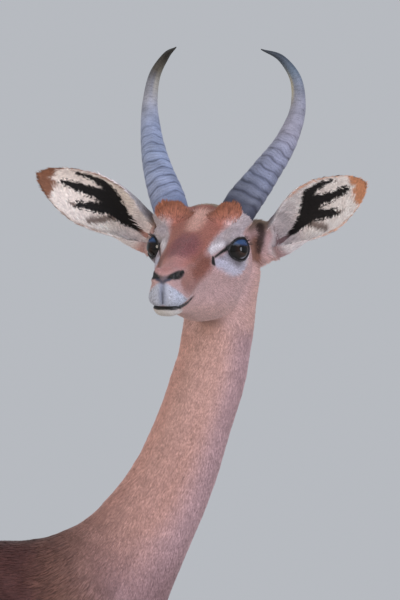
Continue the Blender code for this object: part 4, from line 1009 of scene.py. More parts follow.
def hairLie(points, normals, drawn=0.8):  # the coat's lie; in the ears drawn to the dark brushes
    x, _, z = toBody(points).T
    a, f, u = toHead(points).T
    body = np.stack([-np.ones_like(x), 0 * x, -0.50 * ramp(trunkShare(x, z), 1.0, 0.4)], axis=1)
    down = np.tile([-0.15, 0.0, -1.0], (len(points), 1))
    neck = np.tile([-0.45, 0.0, -1.0], (len(points), 1))
    lie = mix(body, neck, ramp(x + 0.4 * (z - 0.95), 0.16, 0.30))
    lie = mix(lie, down, ramp(z, 0.74, 0.60))
    upward = 0.75 * ramp(u, -0.028, 0.004) * ramp(f, -0.04, 0.0) - 0.45 * ramp(u, -0.02, -0.05)
    parted = (0.20 + 0.45 * ramp(u, 0.0, 0.03)) * np.tanh(a / 0.01)
    face = np.stack([parted, -np.ones_like(a), upward], axis=1)
    lie = mix(lie, face @ headAxes, ramp(u, -0.088, -0.070))
    for (side, _), onEar in zip(bothSides, earShareAt(points)):
        mine = np.flatnonzero(onEar > 0)
        _, along, across, _, _ = earAxes(side)
        s, width, _ = earPlaces(points[mine], side).T * 1000
        step = 0.5
        black = earBlack(s, width)[0]
        further, higher = earBlack(s + step, width)[0], earBlack(s, width + step)[0]
        slope = np.stack([further - black, higher - black], axis=1)
        inside = earInside(points[mine], normals[mine], side)
        pull = inside * ramp(abs(black), 0.2, 1.0) * ramp(black, 14, 7) * ramp(black, -8, -4) * drawn
        combed = along + (slope[:, :1] * along + slope[:, 1:] * across) / -step * pull[:, None]
        lie[mine] = mix(lie[mine], combed @ headAxes, onEar[mine])
    return lie


def hairLength(points):  # as a share of the piece's own length: shortest on the nose and round the eyes
    a, f, u = toHead(points).T * 1000
    share = mix(1.0, np.interp(f, [-60, 0, 60, 100, 140], [1.1, 0.90, 0.74, 0.55, 0.42])[:, None],
                ramp(u, -90, -70))[:, 0]
    for side, _ in bothSides:
        along, up, out = eyePlaces(points, side).T
        share = share * (0.45 + 0.55 * ramp(lidShare(along, up) + 2 * (out < -0.004), 1.1, 1.9))
    for side, _ in bothSides:
        s, width, d = earPlaces(points, side).T * 1000
        mine = np.flatnonzero((s > 3) & (abs(d) < 45) & (abs(width) < 50) & (a * side > 30))
        black = earBlack(s[mine], width[mine])[0]
        share[mine] *= (0.45 + 0.55 * ramp(s[mine], 10, 30)) * (0.45 + 0.55 * ramp(abs(black), 0.5, 5.0))
    share = share * (0.25 + 0.75 * ramp(bareDistance(points), 0.0, 7.0))
    beforeEar = lineDistance(foldedHead(points), faceMarks["dark before ear"][3])
    share = share * (0.45 + 0.55 * ramp(beforeEar, 0.0, 8.0))
    z = toBody(points)[:, 2]
    return share * (0.55 + 0.45 * ramp(z, 0.05, 0.35))


def tuftPiece(name, roots, normals, lies, lengths, widths, colours, places, material, rings=1,
              rise=0.22, bend=0.5, sunk=0.0003, soft=0.8, tipTone=1.12):
    count = len(roots)
    lies = unit(lies - normals * (lies * normals).sum(axis=1, keepdims=True))
    across = np.cross(lies, normals)
    lengths, widths = np.broadcast_to(lengths, count)[:, None], np.broadcast_to(widths, count)[:, None]
    rows, shades, patch = [], [], []
    for t in [i / rings for i in range(rings)]:
        half = widths / 2 * (1 - t**2 * 0.8)
        lifted = lengths * rise * t * (1 - bend * t) - sunk * (1 - t)
        centre = roots + lies * lengths * t + normals * lifted
        rows += [centre - across * half, centre + across * half, centre + normals * half * 0.5]
        shades += [1 + (tipTone - 1) * t] * 3
        patch += [(-0.5, t), (0.5, t), (0.0, t)]
    rows.append(roots + lies * lengths + normals * lengths * rise * (1 - bend))
    shades.append(tipTone)
    patch.append((0.0, 1.0))
    size = len(rows)
    faces = [(0, 2, 1)]
    for k in range(rings - 1):
        for i in range(3):
            j = (i + 1) % 3
            a, b, c, d = 3 * k + i, 3 * k + j, 3 * k + 3 + j, 3 * k + 3 + i
            faces += [(a, b, c), (a, c, d)]
    last = 3 * (rings - 1)
    faces += [(last + i, last + (i + 1) % 3, size - 1) for i in range(3)]
    faces = np.array(faces)[:, ::-1]
    points = np.stack(rows, axis=1).reshape(-1, 3)
    index = (np.arange(count)[:, None, None] * size + faces).reshape(-1)
    mesh = bpy.data.meshes.new(name)
    mesh.vertices.add(len(points))
    mesh.vertices.foreach_set("co", points.astype(np.float32).ravel())
    mesh.loops.add(len(index))
    mesh.loops.foreach_set("vertex_index", index.astype(np.int32))
    mesh.polygons.add(len(index) // 3)
    mesh.polygons.foreach_set("loop_start", np.arange(0, len(index), 3, dtype=np.int32))
    mesh.update(calc_edges=True)
    mesh.shade_smooth()
    paint(mesh, "coatColour", (colours[:, None, :] * np.array(shades)[None, :, None]).reshape(-1, 3))
    patch = (np.array(patch) - (0.0, 0.5)) * 0.003
    spots = (places[:, None, :] + patch[None, :, :]).reshape(-1, 2)[index]
    layer = mesh.uv_layers.new(name="OFBake")
    layer.uv.foreach_set("vector", spots.astype(np.float32).ravel())
    own = readVectors(mesh.vertex_normals, "vector").reshape(count, size, 3)
    shown = unit(own * (1 - soft) + normals[:, None, :] * soft).reshape(-1, 3)
    mesh.normals_split_custom_set_from_vertices(shown.astype(np.float32))
    mesh.materials.append(material)
    made = bpy.data.objects.new(name, mesh)
    scene.collection.objects.link(made)
    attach(made, "root")
    print(name, count, "tufts,", len(index) // 3, "triangles")
    return made


# unwraps of the skin's own shape, each from 0 to 1: along the piece and round it
def inSheet(share, sideways, upright):
    return np.stack([0.01 + 0.98 * share, 0.5 + np.arctan2(sideways, upright) / 6.45], axis=1)


def aroundBody(low, high):
    def places(points, _):
        x, y, z = toBody(points).T
        middle = (np.interp(x, *np.array(bellyLine).T) + np.interp(x, *np.array(backLine).T)) / 2
        return inSheet((x - low) / (high - low), y, z - middle)
    return places


def aroundNeck(points, _):
    x, y, z = toBody(points).T
    middle = np.interp(z, [0.85, 0.95, 1.06, 1.13, 1.3], [0.30, 0.355, 0.39, 0.41, 0.43])
    return inSheet((z - 0.84) / 0.36, y, x - middle)


def aroundHead(points, _):
    a, f, u = toHead(points).T
    return np.stack([np.clip(0.02 + (f + 0.11) / 0.26, 0.01, 0.99), inSheet(f, a, u + 0.02)[:, 1]], axis=1)


def aroundLegs(points, _):  # four strips side by side, one for each leg
    x, y, z = toBody(points).T
    leg = (x < -0.1) * 2 + (y < 0)
    middle = np.where(x < -0.1, np.interp(z, [0.04, 0.38, 0.6], [-0.41, -0.45, -0.35]), 0.21)
    sheet = inSheet(np.clip(z / 0.72, 0, 1), y - np.sign(y) * 0.068, x - middle)
    sheet[:, 1] = (leg + 0.02 + 0.96 * sheet[:, 1]) / 4
    return sheet


def alongEars(points, normals):  # four strips: each ear's hollow and its back
    places = np.full((len(points), 2), 0.5)
    for side, _ in bothSides:
        mine = np.flatnonzero(toHead(points)[:, 0] * side > 0)
        s, a, _ = earPlaces(points[mine], side).T
        inside = earInside(points[mine], normals[mine], side)
        places[mine] = np.stack([0.01 + 0.49 * (side > 0) + 0.48 * np.clip(s / 0.15, 0, 1),
                                 0.02 + 0.48 * inside + 0.46 * np.clip((a + 0.035) / 0.07, 0, 1)], axis=1)
    return places


furMaterial, tree = newMaterial("short_antelope_hair")  # dry guard hairs: a soft satin, never glossy
place = addNode(tree, "ShaderNodeTexCoord")
# strands of about 2.5 mm, coarser than real hair so that they show
toned, _ = streakedTint(tree, "coatColour", {"Scale": 400.0, "Detail": 2.0}, 0.84, 1.14,
                        place.outputs["Object"])
finishMaterial(tree, {"Roughness": 0.66, "Specular IOR Level": 0.30, "Sheen Weight": 0.12,
                      "Sheen Roughness": 0.45}, {"Base Color": toned})

# matt under the coat, moist in the nostrils and on the lips
hideMaterial, tree = newMaterial("hide_under_hair")
moist = addNode(tree, "ShaderNodeAttribute", {"attribute_name": "moist"})
place = addNode(tree, "ShaderNodeTexCoord")
# hair lying flat, in strokes of about 2 mm
toned, strokes = streakedTint(tree, "coatColour", {"Scale": 500.0, "Detail": 3.0, "Roughness": 0.6},
                              0.80, 1.12, place.outputs["Object"])
gloss = addNode(tree, "ShaderNodeMapRange", {"To Min": 0.75, "To Max": 0.42},
                {"Value": moist.outputs["Fac"]})
relief = addNode(tree, "ShaderNodeBump", {"Strength": 0.5, "Distance": 0.0006}, {"Height": strokes})
finishMaterial(tree, {"Specular IOR Level": 0.35},
               {"Base Color": toned, "Roughness": gloss.outputs["Result"],
                "Normal": relief.outputs["Normal"]})
skinMesh.materials.append(hideMaterial)
paint(skinMesh, "coatColour", coatColour(skinPoints, skinNormals) * 0.85)
paint(skinMesh, "moist", np.tile(wetShare(skinPoints)[:, None], (1, 3)))
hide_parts("torso", "neck", "head", "tail", "ear_left", "ear_right",
            *[n for n in fleshNodes if n.endswith("_leg")])
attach(skin, "root")

horn = {
    # middle line from inside the brow to the tip: aside, forward, up, radius
    "line": [
        (0.0310, -0.0240, 0.0280, 0.0175),
        (0.0375, -0.0300, 0.0430, 0.0185),
        (0.0574, -0.0550, 0.0800, 0.0155),
        (0.0747, -0.0870, 0.1200, 0.0112),
        (0.0811, -0.1020, 0.1550, 0.0080),
        (0.0763, -0.1030, 0.1850, 0.0060),
        (0.0640, -0.0955, 0.2030, 0.0040),
        (0.0465, -0.0710, 0.2125, 0.0006),
    ],
    "ridges": 13,
    "ridgeReach": 0.66,
    "ridgeHeight": 0.0014,
    "colours": {
        "left": [(0.00, "#272a38"), (0.12, "#393d50"), (0.22, "#636980"), (0.36, "#7f8196"),
                 (0.52, "#8b8896"), (0.68, "#7c7d8a"), (0.80, "#54616f"), (0.88, "#343d48"),
                 (1.00, "#23262a")],
        "right": [(0.00, "#4f5a74"), (0.14, "#7f89a6"), (0.34, "#8591ae"), (0.52, "#818aa3"),
                  (0.66, "#8d8e98"), (0.74, "#6c6d75"), (0.80, "#3e3a34"), (0.88, "#231f19"),
                  (1.00, "#1b1814")],
    },
    # ring colours: painted shade in the grooves, painted highlight on the crests
    "groove": "#23252f",
    "crest": "#9a9fb0",
    "cream": "#b9b092",
}


def chanceOf(values, seed):  # a repeatable 0 to 1 for each whole number
    return np.modf(np.abs(np.sin(values * 12.9898 + seed * 78.233) * 43758.5453))[0]


hornCores = {side: curveThrough([[side * a, f, u, r] for a, f, u, r in horn["line"]], 80)
             for side, _ in bothSides}
# dull keratin, dark in its cracks, with painted shade in the rings' grooves and a painted highlight on their
# crests
hornMaterial, tree = newMaterial("weathered_horn_sheath")
straight = addNode(tree, "ShaderNodeAttribute", {"attribute_name": "straightened"})
# cracks run round the horn, about 2 mm apart; the grain is about 0.8 mm
stretch = addNode(tree, "ShaderNodeMapping", {"Scale": (130.0, 130.0, 560.0)},
                  {"Vector": straight.outputs["Vector"]})
cracks = addNode(tree, "ShaderNodeTexNoise",
                 {"Scale": 1.0, "Detail": 4.0, "Roughness": 0.65, "Distortion": 0.6},
                 {"Vector": stretch.outputs["Vector"]})
dark = addNode(tree, "ShaderNodeMapRange",
               {"From Min": 0.34, "From Max": 0.48, "To Min": 0.68, "To Max": 1.0},
               {"Value": cracks.outputs["Fac"]})
grained, _ = streakedTint(tree, "hornColour", {"Scale": 1200.0, "Detail": 2.0}, 0.82, 1.18,
                          straight.outputs["Vector"])
toned = addNode(tree, "ShaderNodeVectorMath", {"operation": "SCALE"},
                {"Vector": grained, "Scale": dark.outputs["Result"]})
relief = addNode(tree, "ShaderNodeBump", {"Strength": 0.8, "Distance": 0.0008},
                 {"Height": cracks.outputs["Fac"]})
finishMaterial(tree, {"Roughness": 0.55, "IOR": 1.55, "Specular IOR Level": 0.4},
               {"Base Color": toned.outputs["Vector"], "Normal": relief.outputs["Normal"]})

for side, sideName in bothSides:
    count, around = 300, 60
    rings = curveThrough([[side * a, f, u, r] for a, f, u, r in horn["line"]], count)
    points, faces = tube(rings, around, up=(0.0, 1.0, 0.0))
    points = points.reshape(count, around, 3)
    reach = np.linspace(0, 1, count)[:, None]
    turn = np.linspace(0, 2 * math.pi, around, endpoint=False)[None, :]
    wobble = 0.20 * np.sin(turn + side) + 0.13 * np.sin(2 * turn + 9 * reach)
    wobble = wobble + 0.07 * np.sin(5 * turn + 30 * reach)
    beat = horn["ridges"] * (reach / horn["ridgeReach"]) ** 0.92 + wobble
    number = np.floor(beat)
    within = beat - number
    strong = 0.55 + 0.45 * chanceOf(number, 2 + side)
    strong = strong * (0.72 + 0.28 * np.sin(3 * turn + 4.3 * number + side))
    fine = np.sin(2 * math.pi * (3.3 * beat + 0.25 * np.sin(4 * turn + 3 * number)))
    fade = ramp(reach, horn["ridgeReach"] * 1.05, horn["ridgeReach"] * 0.45) * ramp(reach, 0.06, 0.12)
    fore = 0.62 + 0.38 * np.cos(turn - math.pi)  # the rings stand out most in front
    crest = np.sin(math.pi * within) ** 0.6 - 0.6
    groove = np.exp(-(np.minimum(within, 1 - within) / 0.10) ** 2)
    height = horn["ridgeHeight"] * (crest - 0.8 * groove + 0.16 * fine) * fade * strong * fore
    height += 0.00025 * np.sin(7 * turn + 2 * np.sin(12 * reach)) * ramp(reach, 0.9, 0.3)
    outward = unit(points - rings[:, None, 0:3])
    made = points + outward * height[..., None]
    horned = newObject("horn_sheath_" + sideName, toWorld(made.reshape(-1, 3)), faces, hornMaterial)
    marks = horn["colours"][sideName]
    base = np.stack([np.interp(reach[:, 0], [at for at, _ in marks], [linear(code)[k] for _, code in marks])
                     for k in range(3)], axis=1)[:, None, :] * np.ones((1, around, 1))
    # painted shade in the rings' grooves and fine troughs, painted highlight on their crests
    base = mix(base, linear(horn["groove"]), 0.75 * groove * fade * (0.45 + 0.55 * strong))
    base = mix(base, linear(horn["groove"]), 0.30 * ramp(fine, -0.2, -0.9) * fade)
    base = mix(base * 1.12, linear(horn["crest"]), 0.42 * np.clip(crest + 0.2, 0, 1) * fade)
    streak = np.exp(-((reach - 0.73) / 0.07) ** 2) * ramp(np.cos(turn - side * 1.2), 0.55, 0.95)
    base = mix(base, linear(horn["cream"]), 0.75 * streak * (side > 0) + 0.35 * streak * (side < 0))
    places = toWorld(made.reshape(-1, 3))
    base = base * (1 + 0.10 * mottle(places, 0.018, 8)).reshape(count, around, 1)
    paint(horned.data, "hornColour", base.reshape(-1, 3))
    steps = np.linalg.norm(np.diff(rings[:, 0:3], axis=0), axis=1)
    length = np.concatenate([[0.0], np.cumsum(steps)])[:, None]
    radius = rings[:, 3:4]
    straightened = np.stack([radius * np.cos(turn), radius * np.sin(turn), length + 0 * turn], axis=2)
    layer = horned.data.attributes.new("straightened", "FLOAT_VECTOR", "POINT")
    layer.data.foreach_set("vector", straightened.astype(np.float32).ravel())
    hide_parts("horn_" + sideName)
    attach(horned, "root")
print("horns made")

hoof = {
    "levels": 22,
    "around": 44,
    "frontHeight": 0.0366,
    "backHeight": 0.0235,
    "colour": "#1d1917",
    "worn": "#5c5047",
}
# hard black wall, satin, with growth rings and a scuffed edge
hoofMaterial, tree = newMaterial("hoof_wall_keratin")
place = addNode(tree, "ShaderNodeTexCoord")
# upright fibres, about 1 mm wide and 11 mm long
stretch = addNode(tree, "ShaderNodeMapping", {"Scale": (900.0, 900.0, 90.0)},
                  {"Vector": place.outputs["Object"]})
toned, fibre = streakedTint(tree, "hoofColour", {"Scale": 1.0, "Detail": 3.0}, 0.75, 1.25,
                            stretch.outputs["Vector"])
relief = addNode(tree, "ShaderNodeBump", {"Strength": 0.4, "Distance": 0.0004}, {"Height": fibre})
finishMaterial(tree, {"Roughness": 0.42, "IOR": 1.54},
               {"Base Color": toned, "Normal": relief.outputs["Normal"]})

for foot in ("fore_left", "fore_right", "hind_left", "hind_right"):
    pairMiddle = (centreOf(foot + "_hoof_inner") + centreOf(foot + "_hoof_outer")) / 2
    for which in ("inner", "outer"):
        node = foot + "_hoof_" + which
        low, high = [np.array(corner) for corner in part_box(node)]
        length = (high[0] - low[0]) / 1.03
        middle = np.array([low[0] + 0.47 * length, (low[1] + high[1]) / 2, 0.0])
        side = np.sign(middle[1] - pairMiddle[1])
        half = (high[1] - low[1]) / 2
        rows = []
        for level in range(hoof["levels"]):
            t = level / (hoof["levels"] - 1)
            turn = np.linspace(0, 2 * math.pi, hoof["around"], endpoint=False)
            c, s = np.cos(turn), np.sin(turn)
            toe = np.maximum(0.0, c)
            bow = t - 0.10 * math.sin(math.pi * t)  # the wall is a little hollow from toe to rim
            rings = 0.0002 * math.sin(t * 34) * (1 - t) + 0.0009 * math.exp(-((t - 0.93) / 0.07) ** 2)
            flare = 1 - 0.03 * math.exp(-t / 0.03) + rings / half
            x = length * (0.47 * c + 0.09 * toe) * (1 - bow) + (length * 0.31 * c - 0.0060) * bow
            y = half * s * (1 - 0.55 * toe**4) * (1 - bow) + half * 0.95 * s * bow
            inward = (1 - abs(s)) * toe * half * 0.30 * (1 - t)
            slope = (hoof["frontHeight"] - hoof["backHeight"]) / (length * 0.62)
            top = (hoof["frontHeight"] + hoof["backHeight"]) / 2 + slope * (length * 0.31 * c - 0.0060)
            wall = np.stack([x * flare, y * flare - side * inward, np.minimum(t * top, high[2])], axis=1)
            rows.append(middle + wall)
        points = np.concatenate(rows)
        made = newObject(node + "_wall", points, ringFaces(hoof["levels"], hoof["around"]), hoofMaterial)
        level = points[:, 2] / 0.037
        shade = mix(linear(hoof["worn"]), linear(hoof["colour"]), ramp(level, 0.02, 0.22))
        shade = shade * (1 + 0.18 * np.sin(level * 34))[:, None]
        paint(made.data, "hoofColour", shade)
        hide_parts(node)
        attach(made, "root")
print("hooves made")

# a clear wet cornea over a near-black brown iris: one sharp highlight
eyeMaterial, tree = newMaterial("wet_eyeball")
toned, _ = streakedTint(tree, "eyeColour", {"Scale": 900.0, "Detail": 3.0}, 0.85, 1.15)  # dust-fine specks
finishMaterial(tree, {"Roughness": 0.06, "IOR": 1.376, "Specular IOR Level": 0.5}, {"Base Color": toned})
lidMaterial, tree = newMaterial("moist_lid_edge")  # bare black skin, damp
wrinkle = addNode(tree, "ShaderNodeTexNoise", {"Scale": 1500.0, "Detail": 2.0})
blackest, palest = [(*linear(code), 1) for code in eye["lidSkin"]]
shade = addNode(tree, "ShaderNodeMixRGB", {"Color1": blackest, "Color2": palest},
                {"Fac": wrinkle.outputs["Fac"]})
relief = addNode(tree, "ShaderNodeBump", {"Strength": 0.5, "Distance": 0.0003},
                 {"Height": wrinkle.outputs["Fac"]})
finishMaterial(tree, {"Roughness": 0.38, "Specular IOR Level": 0.4},
               {"Base Color": shade.outputs["Color"], "Normal": relief.outputs["Normal"]})


def lidEdge(side, turn, radius):  # the lids' edge, flat in the opening and on a ball of that radius
    _, look, along, up = eyeAxes(side)
    spoke = np.stack([np.cos(turn), np.sin(turn)], axis=1)
    flat = np.array(eye["lidMiddle"]) + spoke * lidReach(turn)[:, None]
    depth = np.sqrt(np.maximum(radius**2 - (flat**2).sum(axis=1), 1e-6))
    return flat, flat[:, :1] * along + flat[:, 1:] * up + depth[:, None] * look


for side, sideName in bothSides:
    centre, look, along, up = eyeAxes(side)
    count, around = 110, 96
    tilt = math.pi * np.linspace(0.004, 0.996, count)[:, None] ** 1.35
    turn = np.linspace(0, 2 * math.pi, around, endpoint=False)[None, :]
    radius = eye["radius"] + eye["corneaStands"] * ramp(tilt, 0.62, 0.22)
    x = radius * np.sin(tilt) * np.cos(turn)
    y = radius * np.sin(tilt) * np.sin(turn)
    z = radius * np.cos(tilt) + 0 * turn
    points = centre + x[..., None] * along + y[..., None] * up + z[..., None] * look
    eyeball = newObject("eyeball_" + sideName, toWorld(points.reshape(-1, 3)), ringFaces(count, around),
                        eyeMaterial)
    gap = np.hypot(x, y) * 1000
    inner, outer, rimHue = [linear(code) for code in eye["iris"]]
    hue = mix(inner, outer, ramp(gap, 5.0, 9.5))
    hue = hue * (1 + 0.25 * np.sin(turn * 46) * ramp(gap, 3, 6))[..., None]
    long, high = eye["pupilHalf"]
    hue = mix(hue, linear(eye["pupil"]), ramp(np.hypot(x * 1000 / long, y * 1000 / high), 1.08, 0.92))
    hue = mix(hue, rimHue, ramp(gap, 9.5, 11.0))
    share = lidShare(x, y)
    # painted sky reflection over the upper eyeball, inside the lids
    hue = mix(hue, linear(eye["paintedSkyReflection"]), 0.75 * ramp(y, 0.0025, 0.0060) * ramp(share, 0.98, 0.80))
    # painted glint: a thin pale arc inside the lids along the rear lower edge
    paintedGlint = np.exp(-((share - 0.80) / 0.055) ** 2)
    paintedGlint = paintedGlint * ramp(-x - 0.4 * y, 0.001, 0.006) * ramp(y, 0.004, 0.000)
    hue = mix(hue, linear(eye["paintedGlint"]), 0.75 * paintedGlint * (z > 0))
    paint(eyeball.data, "eyeColour", hue.reshape(-1, 3))
    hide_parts("eye_" + sideName)
    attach(eyeball, "root")

    count, around = 120, 14
    turn = np.linspace(0, 2 * math.pi, count, endpoint=False)
    flat, onBall = lidEdge(side, turn, eye["radius"])
    outward = unit(onBall)
    run = unit(np.roll(onBall, -1, axis=0) - np.roll(onBall, 1, axis=0))
    apart = np.cross(run, outward) * side
    wide = mix(eye["rimBelow"], eye["rimAbove"], ramp(flat[:, 1], -0.004, 0.006))
    bead = np.linspace(0, 2 * math.pi, around, endpoint=False)
    stands = eye["rimOff"] + eye["rimThick"] * np.sin(bead)
    points = (centre + onBall[:, None] + outward[:, None] * stands[None, :, None]
              + apart[:, None] * (wide[:, None] * np.cos(bead))[..., None])
    faces = [(i * around + j, i * around + (j + 1) % around, (i + 1) % count * around + (j + 1) % around,
              (i + 1) % count * around + j) for i in range(count) for j in range(around)]
    rim = newObject("lid_edge_" + sideName, toWorld(points.reshape(-1, 3)), faces, lidMaterial)
    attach(rim, "root")
print("eyes made")

cx, _, cz = toBody(centroids).T
_, cf, cu = toHead(centroids).T
earCentroid = np.max(earShareAt(centroids), axis=0) > 0.5
headCentroid = (cu > -0.085) & (cz > 1.12) & ~earCentroid
neckCentroid = ~headCentroid & ~earCentroid & (cx + 0.6 * (cz - 0.95) > 0.26)
legCentroid = cz < 0.62
bodyCentroid = ~headCentroid & ~earCentroid & ~neckCentroid & ~legCentroid
# no hair where the skin is bare, under the horns or on the eye
haired = ramp(wetShare(centroids), 0.45, 0.15)
for side, _ in bothSides:
    along, up, out = eyePlaces(centroids, side).T
    byEye = (out > 0) & (np.hypot(along, up) < 0.030)
    haired = haired * np.where(byEye, ramp(lidShare(along, up), 1.06, 1.14), 1)
    haired = haired * ramp(lineDistance(toHead(centroids), hornCores[side][:20:4]), -0.0015, 0.0)
haired = haired * ramp(lineDistance(foldedHead(centroids), faceMarks["nose leather"][3]), -0.5, 1.5)

coatPlan = [
    # name, where, count, length, width, unwrap
    ("coat_face", headCentroid & (cf > 0.0), 42000, 0.0052, 0.0010, aroundHead),
    ("coat_head_back", headCentroid & (cf <= 0.0), 28000, 0.0062, 0.0012, aroundHead),
    ("coat_upper_neck", neckCentroid & (cz > 1.06), 42000, 0.0056, 0.0010, aroundNeck),
    ("coat_lower_neck", neckCentroid & (cz <= 1.06), 43000, 0.0066, 0.0012, aroundNeck),
    ("coat_ears", earCentroid, 30000, 0.0050, 0.0010, alongEars),
    ("coat_legs", legCentroid, 36000, 0.0090, 0.0019, aroundLegs),
    ("coat_fore_trunk", bodyCentroid & (cx > 0.03), 33000, 0.0125, 0.0022, aroundBody(0.02, 0.34)),
    ("coat_mid_trunk", bodyCentroid & (cx <= 0.03) & (cx > -0.21), 32000, 0.0130, 0.0022,
     aroundBody(-0.22, 0.04)),
    ("coat_hind_trunk", bodyCentroid & (cx <= -0.21), 36000, 0.0130, 0.0022, aroundBody(-0.53, -0.20)),
]
for number, (name, where, count, length, width, unwrap) in enumerate(coatPlan):
    roots, normals, chance = rootsOn(where * haired, count, 100 + number)
    lies = unit(hairLie(roots, normals)) + chance.normal(0, 0.13, (count, 3))
    colours = coatColour(roots + chance.normal(0, 0.0006, (count, 3)), normals)
    bright = np.exp(chance.normal(0, 0.11, count)) * (1 + 0.05 * mottle(roots, 0.012, 9))
    bright[chance.random(count) < 0.11] *= 0.74
    bright[chance.random(count) < 0.05] *= 1.18
    onLip = ramp(lineDistance(foldedHead(roots), faceMarks["lips"][3]), 1.5, -1.5)
    bright *= np.where(chance.random(count) < 0.30 * onLip, 0.35, 1.0)
    lengths = length * chance.uniform(0.72, 1.25, count) * hairLength(roots)
    tuftPiece(name, roots, normals, lies, lengths, width * (0.6 + 0.4 * lengths / length),
              colours * bright[:, None], unwrap(roots, normals), furMaterial)

browTuft = {"count": 4200, "length": 0.0105, "width": 0.0009, "colour": "#925a42", "dark": "#965f50",
            "middle": (0.0295, -0.0090, 0.0350), "spread": (0.0195, 0.0200, 0.0108),
            "outerSpread": {1: 0.0140, -1: 0.0185}}
near = np.full(len(centroids), 9.0)
for side, _ in bothSides:
    local = toHead(centroids) - onSide(browTuft["middle"], side)
    wide = np.where(local[:, 0] * side > 0, browTuft["outerSpread"][side], browTuft["spread"][0])
    spread = [wide, *[np.full(len(wide), reach) for reach in browTuft["spread"][1:]]]
    near = np.minimum(near, np.linalg.norm(local / np.stack(spread, axis=1), axis=1))
facesFore = ramp(centroidNormals @ headAxes[1], 0.05, 0.35)
roots, normals, chance = rootsOn(ramp(near, 1.05, 0.85) * facesFore * headCentroid, browTuft["count"], 120)
places = toHead(roots)
sign = np.sign(places[:, 0])
across = (abs(places[:, 0]) - browTuft["middle"][0]) / browTuft["spread"][0]
lies = np.stack([sign * (0.45 * across + 0.05), 0 * sign, 1 + 0 * sign], axis=1) @ headAxes
lies = unit(lies) + chance.normal(0, 0.10, lies.shape)
tall = (places[:, 2] - browTuft["middle"][2]) / browTuft["spread"][2]
lengths = browTuft["length"] * (1 - 0.35 * np.clip(abs(across), 0, 1) ** 2)
lengths = lengths * (0.55 + 0.45 * ramp(tall, -0.8, 0.1))
lengths = lengths * chance.uniform(0.75, 1.1, len(roots))
colours = mix(linear(browTuft["dark"]), linear(browTuft["colour"]), ramp(tall, -0.9, 0.5))
blend = ramp(tall + chance.normal(0, 0.12, len(roots)), -0.95, -0.30)  # its foot keeps the coat's colour
colours = mix(coatColour(roots, normals), colours, blend)
colours = colours * np.exp(chance.normal(0, 0.20, (len(roots), 1)))
colours[chance.random(len(roots)) < 0.16] *= 0.55
tuftPiece("brow_tufts", roots, normals, lies, lengths, browTuft["width"], colours,
          aroundHead(roots, normals), furMaterial, rings=2, rise=0.30, bend=0.45, soft=0.70, tipTone=1.15)

fringe = {"count": 1500, "length": 0.0052, "width": 0.0008, "reach": 2.2, "clump": 0.0036}
for number, (name, drawn, low, high) in enumerate([("ear_white_fringes", 1.1, 0.0, fringe["reach"]),
                                                   ("ear_dark_fringes", -0.8, -fringe["reach"], -0.2)]):
    weight = np.zeros(len(centroids))
    for (side, _), onEar in zip(bothSides, earShareAt(centroids)):
        mine = np.flatnonzero(onEar > 0.5)
        s, a, d = earPlaces(centroids[mine], side).T * 1000
        black, brown = earBlack(s, a)
        inside = earInside(centroids[mine], centroidNormals[mine], side)
        clumped = ramp(mottle(centroids[mine], fringe["clump"], 30 + number), 0.1, 0.6)
        weight[mine] = inside * clumped * (black > low) * (black < high) * (s > 30)
    roots, normals, chance = rootsOn(weight, fringe["count"], 121 + number)
    lies = unit(hairLie(roots, normals, drawn)) + chance.normal(0, 0.10, roots.shape)
    colours = coatColour(roots, normals) * np.exp(chance.normal(0, 0.10, (len(roots), 1)))
    lengths = fringe["length"] * chance.uniform(0.4, 1.1, len(roots))
    tuftPiece(name, roots, normals, lies, lengths, fringe["width"], colours, alongEars(roots, normals),
              furMaterial, rings=2, rise=0.22, bend=0.5)

# long white hair that rises out of the ears' roots and half fills the hollow there
rootHair = {"count": 1300, "length": 0.0135, "width": 0.0009, "from": (-3, 3), "to": (24, 14),
            "clearOf": [(-12, -9, 1.0), (8, -7, 2.0), (32, -4, 5.5)]}
weight = np.zeros(len(centroids))
for side, _ in bothSides:
    s, a, d = earPlaces(centroids, side).T * 1000
    onEar = (toHead(centroids)[:, 0] * side > 0.03) * (d > -45) * (abs(a) < 26) * (d < 16)
    inside = earInside(centroids, centroidNormals, side)
    inside = inside * ramp(centroidNormals @ (earAxes(side)[3] @ headAxes), 0.15, 0.45)
    beside = lineDistance(np.stack([s, a], axis=1), rootHair["clearOf"]) > 1.0
    planted = onEar * inside * beside * ramp(s, *rootHair["from"]) * ramp(s, *rootHair["to"])
    weight = np.maximum(weight, planted)
roots, normals, chance = rootsOn(weight, rootHair["count"], 125)
lies = np.zeros_like(roots)
for side, _ in bothSides:
    _, along, _, facing, _ = earAxes(side)
    mine = toHead(roots)[:, 0] * side > 0
    lies[mine] = (along + 0.15 * facing) @ headAxes
lies = lies + chance.normal(0, 0.10, roots.shape)
colours = linear(earMarks["flap"]) * np.exp(chance.normal(0, 0.08, (len(roots), 1)))
lengths = rootHair["length"] * chance.uniform(0.5, 1.1, len(roots))
tuftPiece("ear_root_hair", roots, normals, lies, lengths, rootHair["width"], colours,
          alongEars(roots, normals), furMaterial, rings=2, rise=0.42, bend=0.45, tipTone=1.05)

kneeBrush = {"count": 2400, "length": 0.0130, "width": 0.0016}
plain = plainLegs(toBody(centroids))
atKnee = ramp(np.hypot((plain[:, 0] - 0.232) / 1.2, (plain[:, 2] - 0.354) / 1.7), 0.020, 0.010)
roots, normals, chance = rootsOn(atKnee * (centroidNormals[:, 0] > 0.15), kneeBrush["count"], 122)
lies = np.tile([0.05, 0.0, -1.0], (len(roots), 1)) + chance.normal(0, 0.12, roots.shape)
colours = linear(coat["brush"]) * np.exp(chance.normal(0, 0.2, (len(roots), 1)))
tuftPiece("knee_brushes", roots, normals, lies, kneeBrush["length"] * chance.uniform(0.7, 1.1, len(roots)),
          kneeBrush["width"], colours, aroundLegs(roots, normals), furMaterial,
          rings=2, rise=0.35, bend=0.3)

